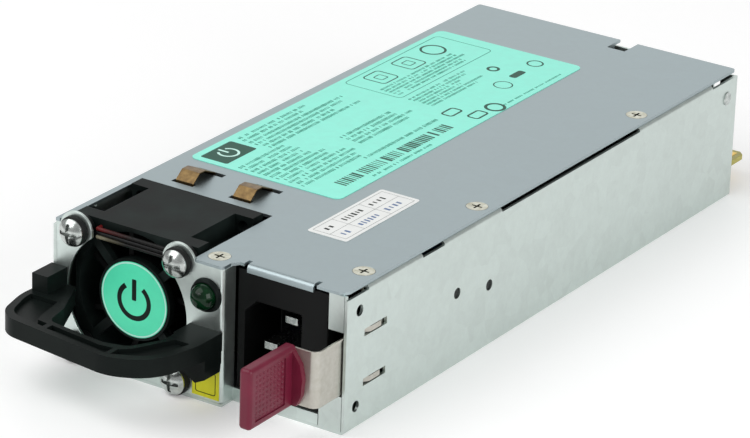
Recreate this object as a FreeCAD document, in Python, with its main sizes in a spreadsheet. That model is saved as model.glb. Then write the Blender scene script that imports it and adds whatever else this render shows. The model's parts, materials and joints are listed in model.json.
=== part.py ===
"""Hot swap server power supply, 1U format: a parametric assembly of its separate pieces.

Frame: +X to the right seen from the front, +Y to the rear, +Z up, millimetres.  The origin
lies on the bottom face, midway across, in the plane of the inlet's front sheet.
"""
import FreeCAD, Part
import math
import os
import re
import Sketcher
from FreeCAD import Rotation, Vector

os.makedirs("parts", exist_ok=True)
doc = FreeCAD.newDocument("HotSwapPowerSupply")

# Driving dimensions, in millimetres.
SIZES = {
    # Folded steel case
    "case_width": 86.0,
    "case_height": 38.0,
    "case_depth": 195.0,
    "sheet_gauge": 0.8,
    "bend_radius": 1.0,
    "flange_width": 9.0,
    "cover_inset": 0.7,
    "seam": 0.15,
    "free_gap": 0.3,
    # The fan's face stands forward of the inlet's face
    "fan_step": 5.0,
    "led_panel": 10.6,
    # Flanges that carry the cover: near and far ends of each, from the front
    "flange_a_near": 9.5,
    "flange_a_far": 33.8,
    "flange_b_near": 43.8,
    "flange_b_far": 71.0,
    "flange_c_inset": 14.0,
    "flange_c_length": 40.0,
    "screw_a_place": 14.5,
    "screw_b_place": 66.6,
    "screw_c_inset": 47.6,
    "cover_screw_inset": 5.0,
    "led_screw_inset": 5.0,
    # Fan
    "fan_top_proud": 1.1,
    "fan_depth": 28.0,
    "fan_wall_gap": 4.0,
    "fan_hole_inset": 3.0,
    "fan_standoff": 3.2,
    "duct_wall": 1.2,
    "opening_rim": 0.4,
    "hub_radius": 11.0,
    "hub_proud": 0.6,
    "rotor_radius": 10.4,
    "rotor_wall": 1.2,
    "rotor_depth": 17.5,
    "blade_gap": 1.1,
    "fan_shaft_radius": 1.5,
    "bearing_radius": 3.0,
    "bearing_width": 3.0,
    "running_fit": 0.05,
    "ear_radius": 5.0,
    "cutout_clearance": 1.4,
    "disc_radius": 10.2,
    "label_gauge": 0.15,
    "label_margin": 0.7,
    "caution_height": 8.2,
    # Fan fixings
    "grommet_radius": 4.0,
    "grommet_rear_radius": 3.2,
    "grommet_collar": 1.7,
    "grommet_neck": 2.7,
    "fan_screw_radius": 1.6,
    "fan_screw_head": 3.65,
    "fan_screw_length": 12.0,
    # Cover screws
    "cover_head_radius": 2.9,
    "cover_screw_radius": 1.4,
    "cover_screw_length": 7.0,
    # Status light
    "led_inset": 4.9,
    "led_drop": 8.6,
    "led_radius": 3.5,
    "led_ring_radius": 4.6,
    # Mains inlet, turned on its side
    "inlet_step": 11.0,
    "inlet_height": 16.3,
    "socket_width": 16.9,
    "socket_height": 24.2,
    "socket_depth": 16.0,
    "socket_chamfer": 3.4,
    "corner_flange": 5.4,
    "inlet_floor": 3.7,
    "inlet_flange": 3.0,
    "inlet_body_depth": 27.0,
    "pin_width": 4.0,
    "pin_gauge": 2.0,
    "pin_pitch": 14.0,
    "pin_offset": 2.0,
    # Handle loop
    "handle_height": 15.5,
    "handle_gauge": 5.0,
    "handle_reach": 34.2,
    "handle_band": 7.0,
    # Release latch
    "latch_height": 18.3,
    "latch_strip_height": 15.2,
    "latch_strip_gauge": 0.5,
    "latch_reach": 10.8,
    "latch_root": 47.7,
    "latch_window_low": 10.2,
    "latch_window_high": 27.5,
    "catch_offset": 6.75,
    "catch_near": 8.0,
    "catch_far": 18.0,
    "catch_height": 1.5,
    "grip_inset": 11.1,
    "grip_gauge": 3.6,
    "grip_length": 19.0,
    "grip_height": 16.2,
    # Main board and its card edge
    "board_height": 5.4,
    "board_gauge": 1.6,
    "board_front": 38.0,
    "rear_room": 6.0,
    "board_margin": 3.0,
    "tail_reach": 15.5,
    "tail_left_inset": 10.0,
    "tail_right_inset": 4.0,
    "signal_width": 1.3,
    "contact_gap": 1.2,
    "contact_margin": 1.6,
    "head_room": 2.4,
    "bulk_can_radius": 11.0,
    "bulk_can_length": 34.0,
}

sheet = doc.addObject("Spreadsheet::Sheet", "Sizes")
for row, (alias, number) in enumerate(SIZES.items(), start=1):
    sheet.set("A%d" % row, alias)
    sheet.set("B%d" % row, str(number))
    sheet.setAlias("B%d" % row, alias)
doc.recompute()

# Sizes that follow from the ones above, as formulas.
DERIVED = {
    "fan_size": "case_height",
    "fan_left": "case_width / 2 - fan_wall_gap - fan_size / 2",
    "fan_height": "case_height / 2 + fan_top_proud",
    "panel_right": "fan_size / 2 - fan_left + led_panel",
    "inlet_left": "panel_right + inlet_step",
    "fan_pitch": "fan_size - 2 * fan_hole_inset",
    "ear_opening": "fan_pitch / 2 - ear_radius",
    "duct_radius": "fan_size / 2 - duct_wall",
    "fan_hole_radius": "fan_size / 2 - opening_rim",
    "blade_tip_radius": "duct_radius - blade_gap",
    "led_left": "panel_right - led_inset",
    "led_height": "case_height - led_drop",
    "led_screw_left": "panel_right - led_screw_inset",
    "inlet_edge": "case_width / 2 - corner_flange",
    "grip_left": "case_width / 2 - grip_inset",
    "board_half_width": "case_width / 2 - board_margin",
    "tail_left": "case_width / 2 - tail_left_inset",
    "tail_right": "case_width / 2 - tail_right_inset",
    "part_height": "case_height - 2 * sheet_gauge - board_height - board_gauge - head_room",
}
for row, (alias, formula) in enumerate(DERIVED.items(), start=len(SIZES) + 1):
    sheet.set("A%d" % row, alias)
    sheet.set("B%d" % row, "=" + formula)
    sheet.setAlias("B%d" % row, alias)
doc.recompute()

ALIASES = re.compile(r"\b(%s)\b" % "|".join(sorted([*SIZES, *DERIVED], key=len, reverse=True)))

# Places that several pieces share, as formulas of the driving dimensions.
HALF = "case_width / 2"
WALL_IN = "(case_width / 2 - sheet_gauge)"
TOP = "(case_height - sheet_gauge)"
FACE = "(-fan_step)"
FAN_X = "(-fan_left)"
FAN_Y = "(sheet_gauge + fan_standoff - fan_step)"
FAN_REAR = "(sheet_gauge + fan_standoff - fan_step + fan_depth)"
BOARD_TOP = "(board_height + board_gauge)"
STRIP_X = "(case_width / 2 - sheet_gauge - 0.4)"
CUT_LEFT = "(-fan_left - fan_size / 2 - cutout_clearance)"
CUT_RIGHT = "(-fan_left + fan_size / 2 + cutout_clearance)"
CUT_REAR = "(sheet_gauge + fan_standoff - fan_step + fan_depth + 2.2)"

nodes = []


# ---------------------------------------------------------------- helpers

def sized(text):
    """A formula with each size's name pointing at its cell in the sheet."""
    return ALIASES.sub(r"Sizes.\1", str(text))


def bind(thing, field, text):
    thing.setExpression(field, sized(text))


def keep(label, thing):
    """Give a finished piece its name and list it for export."""
    thing.Label = label
    nodes.append(thing)
    return thing


def box(name, x, y, z):
    """A block between two planes along each axis."""
    block = doc.addObject("Part::Box", name)
    for size, axis, (low, high) in (("Length", "x", x), ("Width", "y", y), ("Height", "z", z)):
        bind(block, size, "(%s) - (%s)" % (high, low))
        bind(block, "Placement.Base." + axis, low)
    return block


TURNS = {
    "x": Rotation(Vector(0, 1, 0), 90),
    "y": Rotation(Vector(1, 0, 0), -90),
    "z": Rotation(),
}


def lay(solid, axis, centre, low):
    """Lay a round solid along an axis, its near end at low."""
    solid.Placement.Rotation = TURNS[axis]
    others = [name for name in "xyz" if name != axis]
    for name, text in zip(others, centre):
        bind(solid, "Placement.Base." + name, text)
    bind(solid, "Placement.Base." + axis, low)


def rod(name, axis, centre, radius, span):
    """A cylinder along an axis; centre gives the two other coordinates in X, Y, Z order."""
    solid = doc.addObject("Part::Cylinder", name)
    bind(solid, "Radius", radius)
    bind(solid, "Height", "(%s) - (%s)" % (span[1], span[0]))
    lay(solid, axis, centre, span[0])
    return solid


def cone(name, axis, centre, radii, span):
    solid = doc.addObject("Part::Cone", name)
    bind(solid, "Radius1", radii[0])
    bind(solid, "Radius2", radii[1])
    bind(solid, "Height", "(%s) - (%s)" % (span[1], span[0]))
    lay(solid, axis, centre, span[0])
    return solid


def ball(name, place, radius):
    solid = doc.addObject("Part::Sphere", name)
    bind(solid, "Radius", radius)
    for axis, text in zip("xyz", place):
        bind(solid, "Placement.Base." + axis, text)
    return solid


def join(name, *pieces):
    whole = doc.addObject("Part::MultiFuse", name)
    whole.Shapes = list(pieces)
    return whole


def cut(name, base, *tools):
    result = doc.addObject("Part::Cut", name)
    result.Base = base
    result.Tool = tools[0] if len(tools) == 1 else join(name + "_tools", *tools)
    return result


def common(name, first, second):
    result = doc.addObject("Part::Common", name)
    result.Base = first
    result.Tool = second
    return result


def group(name, *pieces):
    """Identical pieces that share one node stay separate solids."""
    whole = doc.addObject("Part::Compound", name)
    whole.Links = list(pieces)
    return whole


def body(name):
    return doc.addObject("PartDesign::Body", name)


def origin_plane(owner, role):
    return next(item for item in owner.Origin.OriginFeatures if item.Role == role)


def drawing(owner, name, role, offset="0"):
    """A sketch on one of the body's own planes; offset runs along the plane's normal."""
    sketch = owner.newObject("Sketcher::SketchObject", name)
    sketch.AttachmentSupport = [(origin_plane(owner, role), "")]
    sketch.MapMode = "FlatFace"
    bind(sketch, "AttachmentOffset.Base.z", offset)
    return sketch


def pin_point(sketch, index, end, x, y):
    """Hold one point of the sketch at signed distances from the sketch's origin."""
    for kind, text in (("DistanceX", x), ("DistanceY", y)):
        number = sketch.addConstraint(Sketcher.Constraint(kind, -1, 1, index, end, 1.0))
        label = "%s_%d_%d" % (kind, index, end)
        sketch.renameConstraint(number, label)
        bind(sketch, "Constraints." + label, text)


def outline(sketch, points):
    """A closed outline with straight sides through the given corners."""
    first = sketch.GeometryCount
    count = len(points)
    turn = 2 * math.pi / count
    corners = [Vector(30 * math.cos(turn * i), 30 * math.sin(turn * i), 0) for i in range(count)]
    for i in range(count):
        sketch.addGeometry(Part.LineSegment(corners[i], corners[(i + 1) % count]))
    for i in range(count):
        following = first + (i + 1) % count
        sketch.addConstraint(Sketcher.Constraint("Coincident", first + i, 2, following, 1))
    for i, (x, y) in enumerate(points):
        pin_point(sketch, first + i, 1, x, y)
    return sketch


def rectangle(sketch, x, y):
    return outline(sketch, [(x[0], y[0]), (x[1], y[0]), (x[1], y[1]), (x[0], y[1])])


def circle(sketch, x, y, radius):
    index = sketch.addGeometry(Part.Circle(Vector(), Vector(0, 0, 1), 1.0))
    pin_point(sketch, index, 3, x, y)
    number = sketch.addConstraint(Sketcher.Constraint("Radius", index, 1.0))
    label = "Radius_%d" % index
    sketch.renameConstraint(number, label)
    bind(sketch, "Constraints." + label, radius)


def pad(owner, sketch, length, backwards=False):
    feature = owner.newObject("PartDesign::Pad", sketch.Name + "_pad")
    feature.Profile = sketch
    bind(feature, "Length", length)
    feature.Reversed = backwards
    owner.Tip = feature
    return feature


def pocket(owner, sketch, length, forwards=True):
    """Cut the sketch out of the body along the plane's normal, or against it."""
    doc.recompute()
    before = owner.Shape.Volume
    feature = owner.newObject("PartDesign::Pocket", sketch.Name + "_pocket")
    feature.Profile = sketch
    bind(feature, "Length", length)
    feature.Reversed = forwards
    owner.Tip = feature
    doc.recompute()
    if owner.Shape.Volume >= before:
        raise RuntimeError("pocket %s cuts nothing" % feature.Name)
    return feature


def round_edges(owner, name, radius, wanted, kind="PartDesign::Fillet"):
    """Round or chamfer every edge of the body so far that the test picks."""
    doc.recompute()
    base = owner.Tip
    picked = ["Edge%d" % (i + 1) for i, edge in enumerate(base.Shape.Edges) if wanted(edge)]
    feature = owner.newObject(kind, name)
    feature.Base = (base, picked)
    bind(feature, "Radius" if kind.endswith("Fillet") else "Size", radius)
    owner.Tip = feature
    return feature


def round_corners(owner, sketch, corners, radius):
    """Round the straight edges that rise from some corners of a padded outline."""
    doc.recompute()
    place = sketch.Placement
    normal = place.Rotation.multVec(Vector(0, 0, 1))
    points = [place.multVec(sketch.Geometry[i].StartPoint) for i in corners]

    def rises(edge):
        if len(edge.Vertexes) != 2 or not isinstance(edge.Curve, Part.Line):
            return False
        start = edge.Vertexes[0].Point
        run = edge.Vertexes[1].Point - start
        if run.cross(normal).Length > 1e-6 * run.Length:
            return False
        return any((start - point).cross(normal).Length < 1e-4 for point in points)

    name = "%s_round_%s" % (sketch.Name, "_".join(str(i) for i in corners))
    return round_edges(owner, name, radius, rises)


def along(edge, axis):
    """True when a straight edge runs along the given axis, 0 to 2."""
    if len(edge.Vertexes) != 2:
        return False
    run = edge.Vertexes[1].Point - edge.Vertexes[0].Point
    return abs(abs(run[axis]) - run.Length) < 1e-6 and run.Length > 1e-6


# ---------------------------------------------------------------- folded steel case

FLANGE_C_FAR = "(case_depth - flange_c_inset)"
FLANGE_C_NEAR = "(case_depth - flange_c_inset - flange_c_length)"
FLANGE_GAPS = (
    ("(-fan_step - 1)", "flange_a_near"),
    ("flange_a_far", "flange_b_near"),
    ("flange_b_far", FLANGE_C_NEAR),
    (FLANGE_C_FAR, "(case_depth + 1)"),
)
HOOKS = ("(flange_b_near + flange_b_far) / 2", "(case_depth - flange_c_inset - flange_c_length / 2)")
HOOK_X = "(4 - case_width / 2)"
RIVETS = (("50.6", "20.6"), ("66.1", "17.5"))
CORNER_HOLES = (("5.6", "case_height - 6.1"), ("5.0", "6.2"))


def chassis():
    """Floor and side walls, one folded channel with inward flanges at the top."""
    case = body("chassis_body")
    profile = drawing(case, "channel", "XZ_Plane", "fan_step")
    inner = WALL_IN
    lip = "(case_width / 2 - flange_width)"
    under = "(case_height - 2 * sheet_gauge)"
    outline(profile, [
        ("-" + HALF, "0"), (HALF, "0"), (HALF, TOP), (lip, TOP), (lip, under), (inner, under),
        (inner, "sheet_gauge"), ("-" + inner, "sheet_gauge"), ("-" + inner, under),
        ("-" + lip, under), ("-" + lip, TOP), ("-" + HALF, TOP),
    ])
    pad(case, profile, "case_depth + fan_step", backwards=True)
    round_corners(case, profile, (0, 1, 2, 11), "bend_radius")
    round_corners(case, profile, (5, 6, 7, 8), "bend_radius - sheet_gauge")
    gaps = drawing(case, "flange_gaps", "XY_Plane", "case_height - sheet_gauge - bend_radius")
    for near, far in FLANGE_GAPS:
        rectangle(gaps, ("-case_width", "case_width"), (near, far))
    pocket(case, gaps, "3 * bend_radius")
    relief = drawing(case, "fan_relief", "XY_Plane", "case_height - sheet_gauge - bend_radius")
    rectangle(relief, (CUT_LEFT, CUT_RIGHT), ("0", CUT_REAR))
    pocket(case, relief, "3 * bend_radius")
    slots = drawing(case, "hook_slots", "XY_Plane", "case_height - 3 * sheet_gauge")
    for place in HOOKS:
        rectangle(slots, (HOOK_X + " - 0.8", HOOK_X + " + 0.8"), (place + " - 3.6", place + " + 3.6"))
    pocket(case, slots, "3 * sheet_gauge")
    step = drawing(case, "front_step", "XY_Plane", "-1")
    rectangle(step, ("panel_right", "case_width"), ("-2 * fan_step", "0"))
    pocket(case, step, "case_height + 2")
    latch_side(case)
    front_corner(case)
    return keep("chassis", case)


def latch_side(case):
    """Openings in the right wall: the two catch slots, two corner holes, two rivet holes."""
    openings = drawing(case, "side_openings", "YZ_Plane", WALL_IN + " - 0.1")
    for sign in ("+", "-"):
        middle = "latch_height %s catch_offset" % sign
        half = "(catch_height / 2 + 0.25)"
        rectangle(openings, ("catch_near", "catch_far"),
                  ("%s - %s" % (middle, half), "%s + %s" % (middle, half)))
    for y, z in CORNER_HOLES:
        circle(openings, y, z, "1.5")
    for y, z in RIVETS:
        circle(openings, y, z, "1.5")
    pocket(case, openings, "sheet_gauge + 1")


def front_corner(case):
    """Short front flanges at the right wall, above and below the latch's window."""
    right = WALL_IN + " + sheet_gauge / 2"
    upper = drawing(case, "corner_upper", "XY_Plane", "latch_window_high")
    rectangle(upper, ("inlet_edge", right), ("0", "sheet_gauge"))
    pad(case, upper, "case_height - sheet_gauge - latch_window_high")
    lower = drawing(case, "corner_lower", "XY_Plane", "sheet_gauge / 2")
    rectangle(lower, ("inlet_edge - 2.2", right), ("0", "sheet_gauge"))
    pad(case, lower, "latch_window_low - sheet_gauge / 2")
    seams = drawing(case, "corner_seams", "XY_Plane", "sheet_gauge")
    rectangle(seams, (WALL_IN + " - seam", WALL_IN), ("-1", "sheet_gauge / 2"))
    pocket(case, seams, "case_height")


LIP_LEFT = "(inlet_left - 7.5)"
LIP_RIGHT = "(inlet_edge - 4.8)"
FINGERS = ("(-fan_left - fan_size / 2 + 9)", "(-fan_left + fan_size / 2 - 11)")
FINGER_FRONT = "(sheet_gauge + fan_standoff - fan_step + fan_depth + 6.2)"
FINGER_SPAN = "9.6"
NOTCH = ("5.0", "10.7")


def screw_places():
    """Centres of the cover's screws: three along the right flanges, one by the status light."""
    right = "(case_width / 2 - cover_screw_inset)"
    places = [(right, y) for y in ("screw_a_place", "screw_b_place", "(case_depth - screw_c_inset)")]
    return places + [("led_screw_left", "0.3")]


def top_cover():
    """Flat cover sheet with the fan's cut-out, the lip above the inlet and a rear notch."""
    cover = body("top_cover_body")
    front_lip(cover)
    flat = drawing(cover, "cover_flat", "XY_Plane", TOP)
    edge = "(case_width / 2 - cover_inset)"
    behind = "(sheet_gauge + seam - fan_step)"
    slit = "1.1"
    outline(flat, [
        ("-" + edge, FACE), (CUT_LEFT + " - 0.6", FACE), (CUT_LEFT + " - 0.6", behind),
        (CUT_LEFT, behind), (CUT_LEFT, CUT_REAR), (CUT_RIGHT, CUT_REAR), (CUT_RIGHT, behind),
        (CUT_RIGHT + " + 0.6", behind), (CUT_RIGHT + " + 0.6", FACE),
        ("panel_right - 0.2", FACE), ("panel_right - 0.2", "-1.6"),
        ("panel_right + 1.2", "0.4"), (LIP_LEFT + " - " + slit, "0.4"),
        (LIP_LEFT + " - " + slit, "2.6"), (LIP_LEFT, "2.6"), (LIP_LEFT, "2"),
        (LIP_RIGHT, "2"), (LIP_RIGHT, "2.6"), (LIP_RIGHT + " + " + slit, "2.6"),
        (LIP_RIGHT + " + " + slit, "0"), (edge, "0"), (edge, "case_depth"),
        (NOTCH[1], "case_depth"), (NOTCH[1], "case_depth - 7.5"),
        (NOTCH[0], "case_depth - 7.5"), (NOTCH[0], "case_depth"), ("-" + edge, "case_depth"),
    ])
    pad(cover, flat, "sheet_gauge")
    round_corners(cover, flat, (20,), "2.6")
    round_corners(cover, flat, (21, 26, 9), "1")
    tabs = drawing(cover, "cover_tabs", "XY_Plane", TOP + " + sheet_gauge / 2")
    half = "sheet_gauge / 2"
    for place in HOOKS:
        rectangle(tabs, (HOOK_X + " - " + half, HOOK_X + " + " + half), (place + " - 3", place + " + 3"))
    rectangle(tabs, (NOTCH[0] + " - sheet_gauge", NOTCH[0]), ("case_depth - 7", "case_depth - 3"))
    pad(cover, tabs, "4", backwards=True)
    cover_openings(cover)
    return keep("top_cover", cover)


def front_lip(cover):
    """The rolled lip that hangs over the inlet's upper edge."""
    lip = drawing(cover, "cover_lip", "YZ_Plane", LIP_LEFT)
    outline(lip, [
        ("0", TOP + " - 1.3"), ("sheet_gauge", TOP + " - 1.3"), ("sheet_gauge", TOP),
        ("3", TOP), ("3", "case_height"), ("0", "case_height"),
    ])
    pad(cover, lip, "%s - %s" % (LIP_RIGHT, LIP_LEFT))
    round_corners(cover, lip, (5,), "1.3")


def cover_openings(cover):
    """Slots for the spring fingers and countersunk holes for the screws."""
    slots = drawing(cover, "finger_slots", "XY_Plane", TOP + " - 1")
    far = "(%s + %s)" % (FINGER_FRONT, FINGER_SPAN)
    for x in FINGERS:
        rectangle(slots, (x + " - 3.6", x + " + 3.2"), (FINGER_FRONT + " - 1", FINGER_FRONT + " + 0.8"))
        rectangle(slots, (x + " - 3", x + " + 5.5"), (far + " - 0.8", far + " + 1.2"))
    pocket(cover, slots, "3 * sheet_gauge")
    holes = drawing(cover, "cover_holes", "XY_Plane", TOP + " - 1")
    for x, y in screw_places():
        circle(holes, x, y, "cover_head_radius - 0.7")
    pocket(cover, holes, "3 * sheet_gauge")
    inner = SIZES["cover_head_radius"] - 0.7

    def mouth(edge):
        round_one = isinstance(edge.Curve, Part.Circle) and abs(edge.Curve.Radius - inner) < 1e-4
        return round_one and abs(edge.BoundBox.ZMin - SIZES["case_height"]) < 1e-4

    round_edges(cover, "countersinks", "0.75", mouth, "PartDesign::Chamfer")


def cover_screws():
    """Countersunk cross-head screws, flush with the cover."""
    screws = []
    neck = "case_height - 0.7"
    for i, (x, y) in enumerate(screw_places()):
        head = cone("cover_head_%d" % i, "z", (x, y),
                    ("cover_head_radius - 0.75", "cover_head_radius - 0.05"),
                    (neck, "case_height"))
        shank = rod("cover_shank_%d" % i, "z", (x, y), "cover_screw_radius",
                    ("case_height - cover_screw_length", neck + " + 0.1"))
        solid = join("cover_solid_%d" % i, head, shank)
        screws.append(cut("cover_screw_%d" % i, solid, *cross("cover_cross_%d" % i, "z", (x, y),
                                                            ("case_height - 0.55", "case_height + 1"))))
    return keep("cover_screws", group("cover_screw_set", *screws))


def cross(name, axis, centre, span, reach="1.5", width="0.55"):
    """Two crossing bars that cut a cross recess."""
    first, second = centre
    long_way = lambda c: ("%s - %s" % (c, reach), "%s + %s" % (c, reach))
    thin_way = lambda c: ("%s - %s / 2" % (c, width), "%s + %s / 2" % (c, width))
    if axis == "z":
        return (box(name + "_a", long_way(first), thin_way(second), span),
                box(name + "_b", thin_way(first), long_way(second), span))
    return (box(name + "_a", long_way(first), span, thin_way(second)),
            box(name + "_b", thin_way(first), span, long_way(second)))


def fan_corners():
    """The four screw places of the fan, as (x, z)."""
    return [("(-fan_left %s fan_pitch / 2)" % a, "(fan_height %s fan_pitch / 2)" % b)
            for b in "+-" for a in "-+"]


def front_plate():
    """Folded front sheet: fan face with two ears, status light panel, return, inlet sill."""
    plate = body("front_plate_body")
    fold = drawing(plate, "front_fold", "XY_Plane", "sheet_gauge")
    left = "(sheet_gauge - case_width / 2)"
    inner = "(panel_right - sheet_gauge)"
    outline(fold, [
        (left, FACE), ("panel_right", FACE), ("panel_right", "sheet_gauge / 2"),
        (inner, "sheet_gauge / 2"), (inner, "sheet_gauge - fan_step"), (left, "sheet_gauge - fan_step"),
    ])
    pad(plate, fold, "case_height - 2 * sheet_gauge")
    round_corners(plate, fold, (1,), "1.5 * sheet_gauge")
    round_corners(plate, fold, (4,), "sheet_gauge / 2")
    sill = drawing(plate, "inlet_sill", "XZ_Plane", "0")
    rectangle(sill, ("panel_right - sheet_gauge / 2", "inlet_edge - 2.4"), ("sheet_gauge", "inlet_floor"))
    pad(plate, sill, "sheet_gauge", backwards=True)
    shelf = drawing(plate, "screw_shelf", "XY_Plane", "case_height - 2 * sheet_gauge")
    rectangle(shelf, ("led_screw_left - 3.4", "led_screw_left + 3.6"), ("-fan_step + sheet_gauge / 2", "4.5"))
    pad(plate, shelf, "sheet_gauge")
    ears = drawing(plate, "ears", "XZ_Plane", "fan_step")
    for x, z in fan_corners()[:2]:
        circle(ears, x, z, "ear_radius")
    pad(plate, ears, "sheet_gauge", backwards=True)
    front_openings(plate)
    return keep("front_plate", plate)


def front_openings(plate):
    """The fan's opening, its grommet holes, the status light's hole and the screw holes."""
    depth = "sheet_gauge + 1"
    hole = drawing(plate, "fan_opening", "XZ_Plane", "fan_step + 0.5")
    circle(hole, FAN_X, "fan_height", "fan_hole_radius")
    pocket(plate, hole, depth, forwards=False)
    gate = drawing(plate, "lead_opening", "XZ_Plane", "fan_step + 0.5")
    rectangle(gate, ("-fan_left - ear_opening", "-fan_left + ear_opening"), ("fan_height", "2 * case_height"))
    pocket(plate, gate, depth, forwards=False)
    small = drawing(plate, "small_holes", "XZ_Plane", "fan_step + 0.5")
    for x, z in fan_corners():
        circle(small, x, z, "grommet_neck + 0.1")
    circle(small, "led_left", "led_height", "led_radius + 0.5")
    for x, z in HANDLE_SCREWS:
        circle(small, x, z, "1.2")
    pocket(plate, small, depth, forwards=False)
    holes = drawing(plate, "shelf_hole", "XY_Plane", "case_height - 3 * sheet_gauge")
    circle(holes, "led_screw_left", "0.3", "cover_screw_radius + 0.05")
    pocket(plate, holes, "3 * sheet_gauge")


def flange_holes(case):
    """Tapped holes in the chassis flanges under the cover's screws."""
    holes = drawing(case, "tapped_holes", "XY_Plane", "case_height - 3 * sheet_gauge")
    for x, y in screw_places()[:3]:
        circle(holes, x, y, "cover_screw_radius + 0.05")
    pocket(case, holes, "3 * sheet_gauge")


def rear_panel():
    """Rear sheet with vent slots and the slot that the card edge passes through."""
    panel = body("rear_panel_body")
    inside = "(%s - seam)" % WALL_IN
    flat = drawing(panel, "rear_flat", "XZ_Plane", "sheet_gauge - case_depth")
    rectangle(flat, ("-" + inside, inside), ("sheet_gauge", "case_height - sheet_gauge - bend_radius"))
    pad(panel, flat, "sheet_gauge", backwards=True)
    slot = drawing(panel, "card_slot", "XZ_Plane", "sheet_gauge - case_depth + 0.5")
    rectangle(slot, ("-tail_left - 1", "tail_right + 1"), ("board_height - 1", BOARD_TOP + " + 1"))
    pocket(panel, slot, "sheet_gauge + 1", forwards=False)
    vent = drawing(panel, "vent", "XZ_Plane", "sheet_gauge - case_depth + 0.5")
    low = BOARD_TOP + " + 4"
    rectangle(vent, ("5 - case_width / 2", "7 - case_width / 2"), (low, "case_height - 4"))
    opening = pocket(panel, vent, "sheet_gauge + 1", forwards=False)
    vents = panel.newObject("PartDesign::LinearPattern", "vents")
    vents.Originals = [opening]
    vents.Direction = (vent, ["H_Axis"])
    bind(vents, "Length", "case_width - 12")
    vents.Occurrences = 19
    panel.Tip = vents
    return keep("rear_panel", panel)


# ---------------------------------------------------------------- fan

def fan_frame():
    """Square moulded frame with a round duct, corner recesses, struts and the motor's seat."""
    half = "fan_size / 2"
    block = box("fan_block", ("%s - %s" % (FAN_X, half), "%s + %s" % (FAN_X, half)),
                (FAN_Y, FAN_REAR), ("fan_height - " + half, "fan_height + " + half))
    tools = [rod("fan_duct", "y", (FAN_X, "fan_height"), "duct_radius", (FAN_Y + " - 1", FAN_REAR + " + 1"))]
    for i, (x, z) in enumerate(fan_corners()):
        tools.append(rod("fan_screw_hole_%d" % i, "y", (x, z), "fan_screw_radius + 0.05",
                         (FAN_Y + " - 1", FAN_REAR + " + 1")))
        a = ("-", "+")[i % 2]
        b = ("+", "-")[i // 2]
        x_side = sorted_pair("%s %s %s" % (FAN_X, a, half), a, "5.5")
        z_side = sorted_pair("fan_height %s %s" % (b, half), b, "5.5")
        tools.append(box("fan_recess_%d" % i, x_side, (FAN_Y + " + 4.5", FAN_REAR + " - 4.5"), z_side))
    shell = cut("fan_shell", block, *tools)
    seat = rod("motor_seat", "y", (FAN_X, "fan_height"), "hub_radius",
               (FAN_Y + " - hub_proud", FAN_Y + " + 1.5"))
    tube = rod("bearing_tube", "y", (FAN_X, "fan_height"), "bearing_radius + 1.2",
               (FAN_Y + " + 1", FAN_Y + " + 15"))
    bars = [strut(i) for i in range(4)]
    solid = join("fan_solid", shell, seat, tube, *bars)
    bore = rod("bearing_bore", "y", (FAN_X, "fan_height"), "bearing_radius",
               (FAN_Y + " + 1.5", FAN_Y + " + 16"))
    return keep("fan_frame", cut("fan_frame_cut", solid, bore))


def sorted_pair(outer, side, depth):
    """A span that starts one millimetre outside a face and reaches a depth inside it."""
    if side == "+":
        return ("%s - %s" % (outer, depth), "%s + 1" % outer)
    return ("%s - 1" % outer, "%s + %s" % (outer, depth))


def strut(i):
    """One flat bar from the motor's seat to the duct's wall."""
    bar = box("strut_%d" % i, (FAN_X, "%s + 1" % FAN_X), (FAN_Y, FAN_Y + " + 2"),
              ("fan_height", "fan_height + 1"))
    bind(bar, "Length", "duct_radius + 0.5 - hub_radius + 1")
    bind(bar, "Height", "2.4")
    bar.Placement.Rotation = Rotation(Vector(0, 1, 0), 45 + 90 * i)
    way = (math.cos(math.radians(45 + 90 * i)), math.sin(math.radians(45 + 90 * i)))
    bind(bar, "Placement.Base.x", "%s + (hub_radius - 1) * %.6f - 1.2 * %.6f" % (FAN_X, way[0], way[1]))
    bind(bar, "Placement.Base.z", "fan_height - (hub_radius - 1) * %.6f - 1.2 * %.6f" % (way[1], way[0]))
    return bar


def centred(owner, y):
    """Stand a body on the fan's axis, its own origin at the given depth."""
    bind(owner, "Placement.Base.x", FAN_X)
    bind(owner, "Placement.Base.y", y)
    bind(owner, "Placement.Base.z", "fan_height")


def fan_rotor():
    """Cup with seven slanted blades, turned about the fan's axis."""
    rotor = body("fan_rotor_body")
    ring = drawing(rotor, "cup", "XZ_Plane", "0")
    circle(ring, "0", "0", "rotor_radius")
    pad(rotor, ring, "rotor_depth", backwards=True)
    hollow = drawing(rotor, "cup_hollow", "XZ_Plane", "1")
    circle(hollow, "0", "0", "rotor_radius - rotor_wall")
    pocket(rotor, hollow, "rotor_depth + 1 - rotor_wall - 0.6", forwards=False)
    blade = drawing(rotor, "blade", "XY_Plane", "rotor_radius - 0.6")
    outline(blade, [("-4.6", "0.6"), ("-3.2", "0.6"), ("4.6", "rotor_depth - 0.6"), ("3.2", "rotor_depth - 0.6")])
    first = pad(rotor, blade, "blade_tip_radius - rotor_radius + 0.6")
    blades = rotor.newObject("PartDesign::PolarPattern", "blades")
    blades.Originals = [first]
    blades.Axis = (ring, ["N_Axis"])
    blades.Angle = 360
    blades.Occurrences = 7
    rotor.Tip = blades
    bore = drawing(rotor, "shaft_seat", "XZ_Plane", "1")
    circle(bore, "0", "0", "fan_shaft_radius")
    pocket(rotor, bore, "rotor_depth + 3", forwards=False)
    centred(rotor, FAN_Y + " + 2.6")
    return keep("fan_rotor", rotor)


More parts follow.
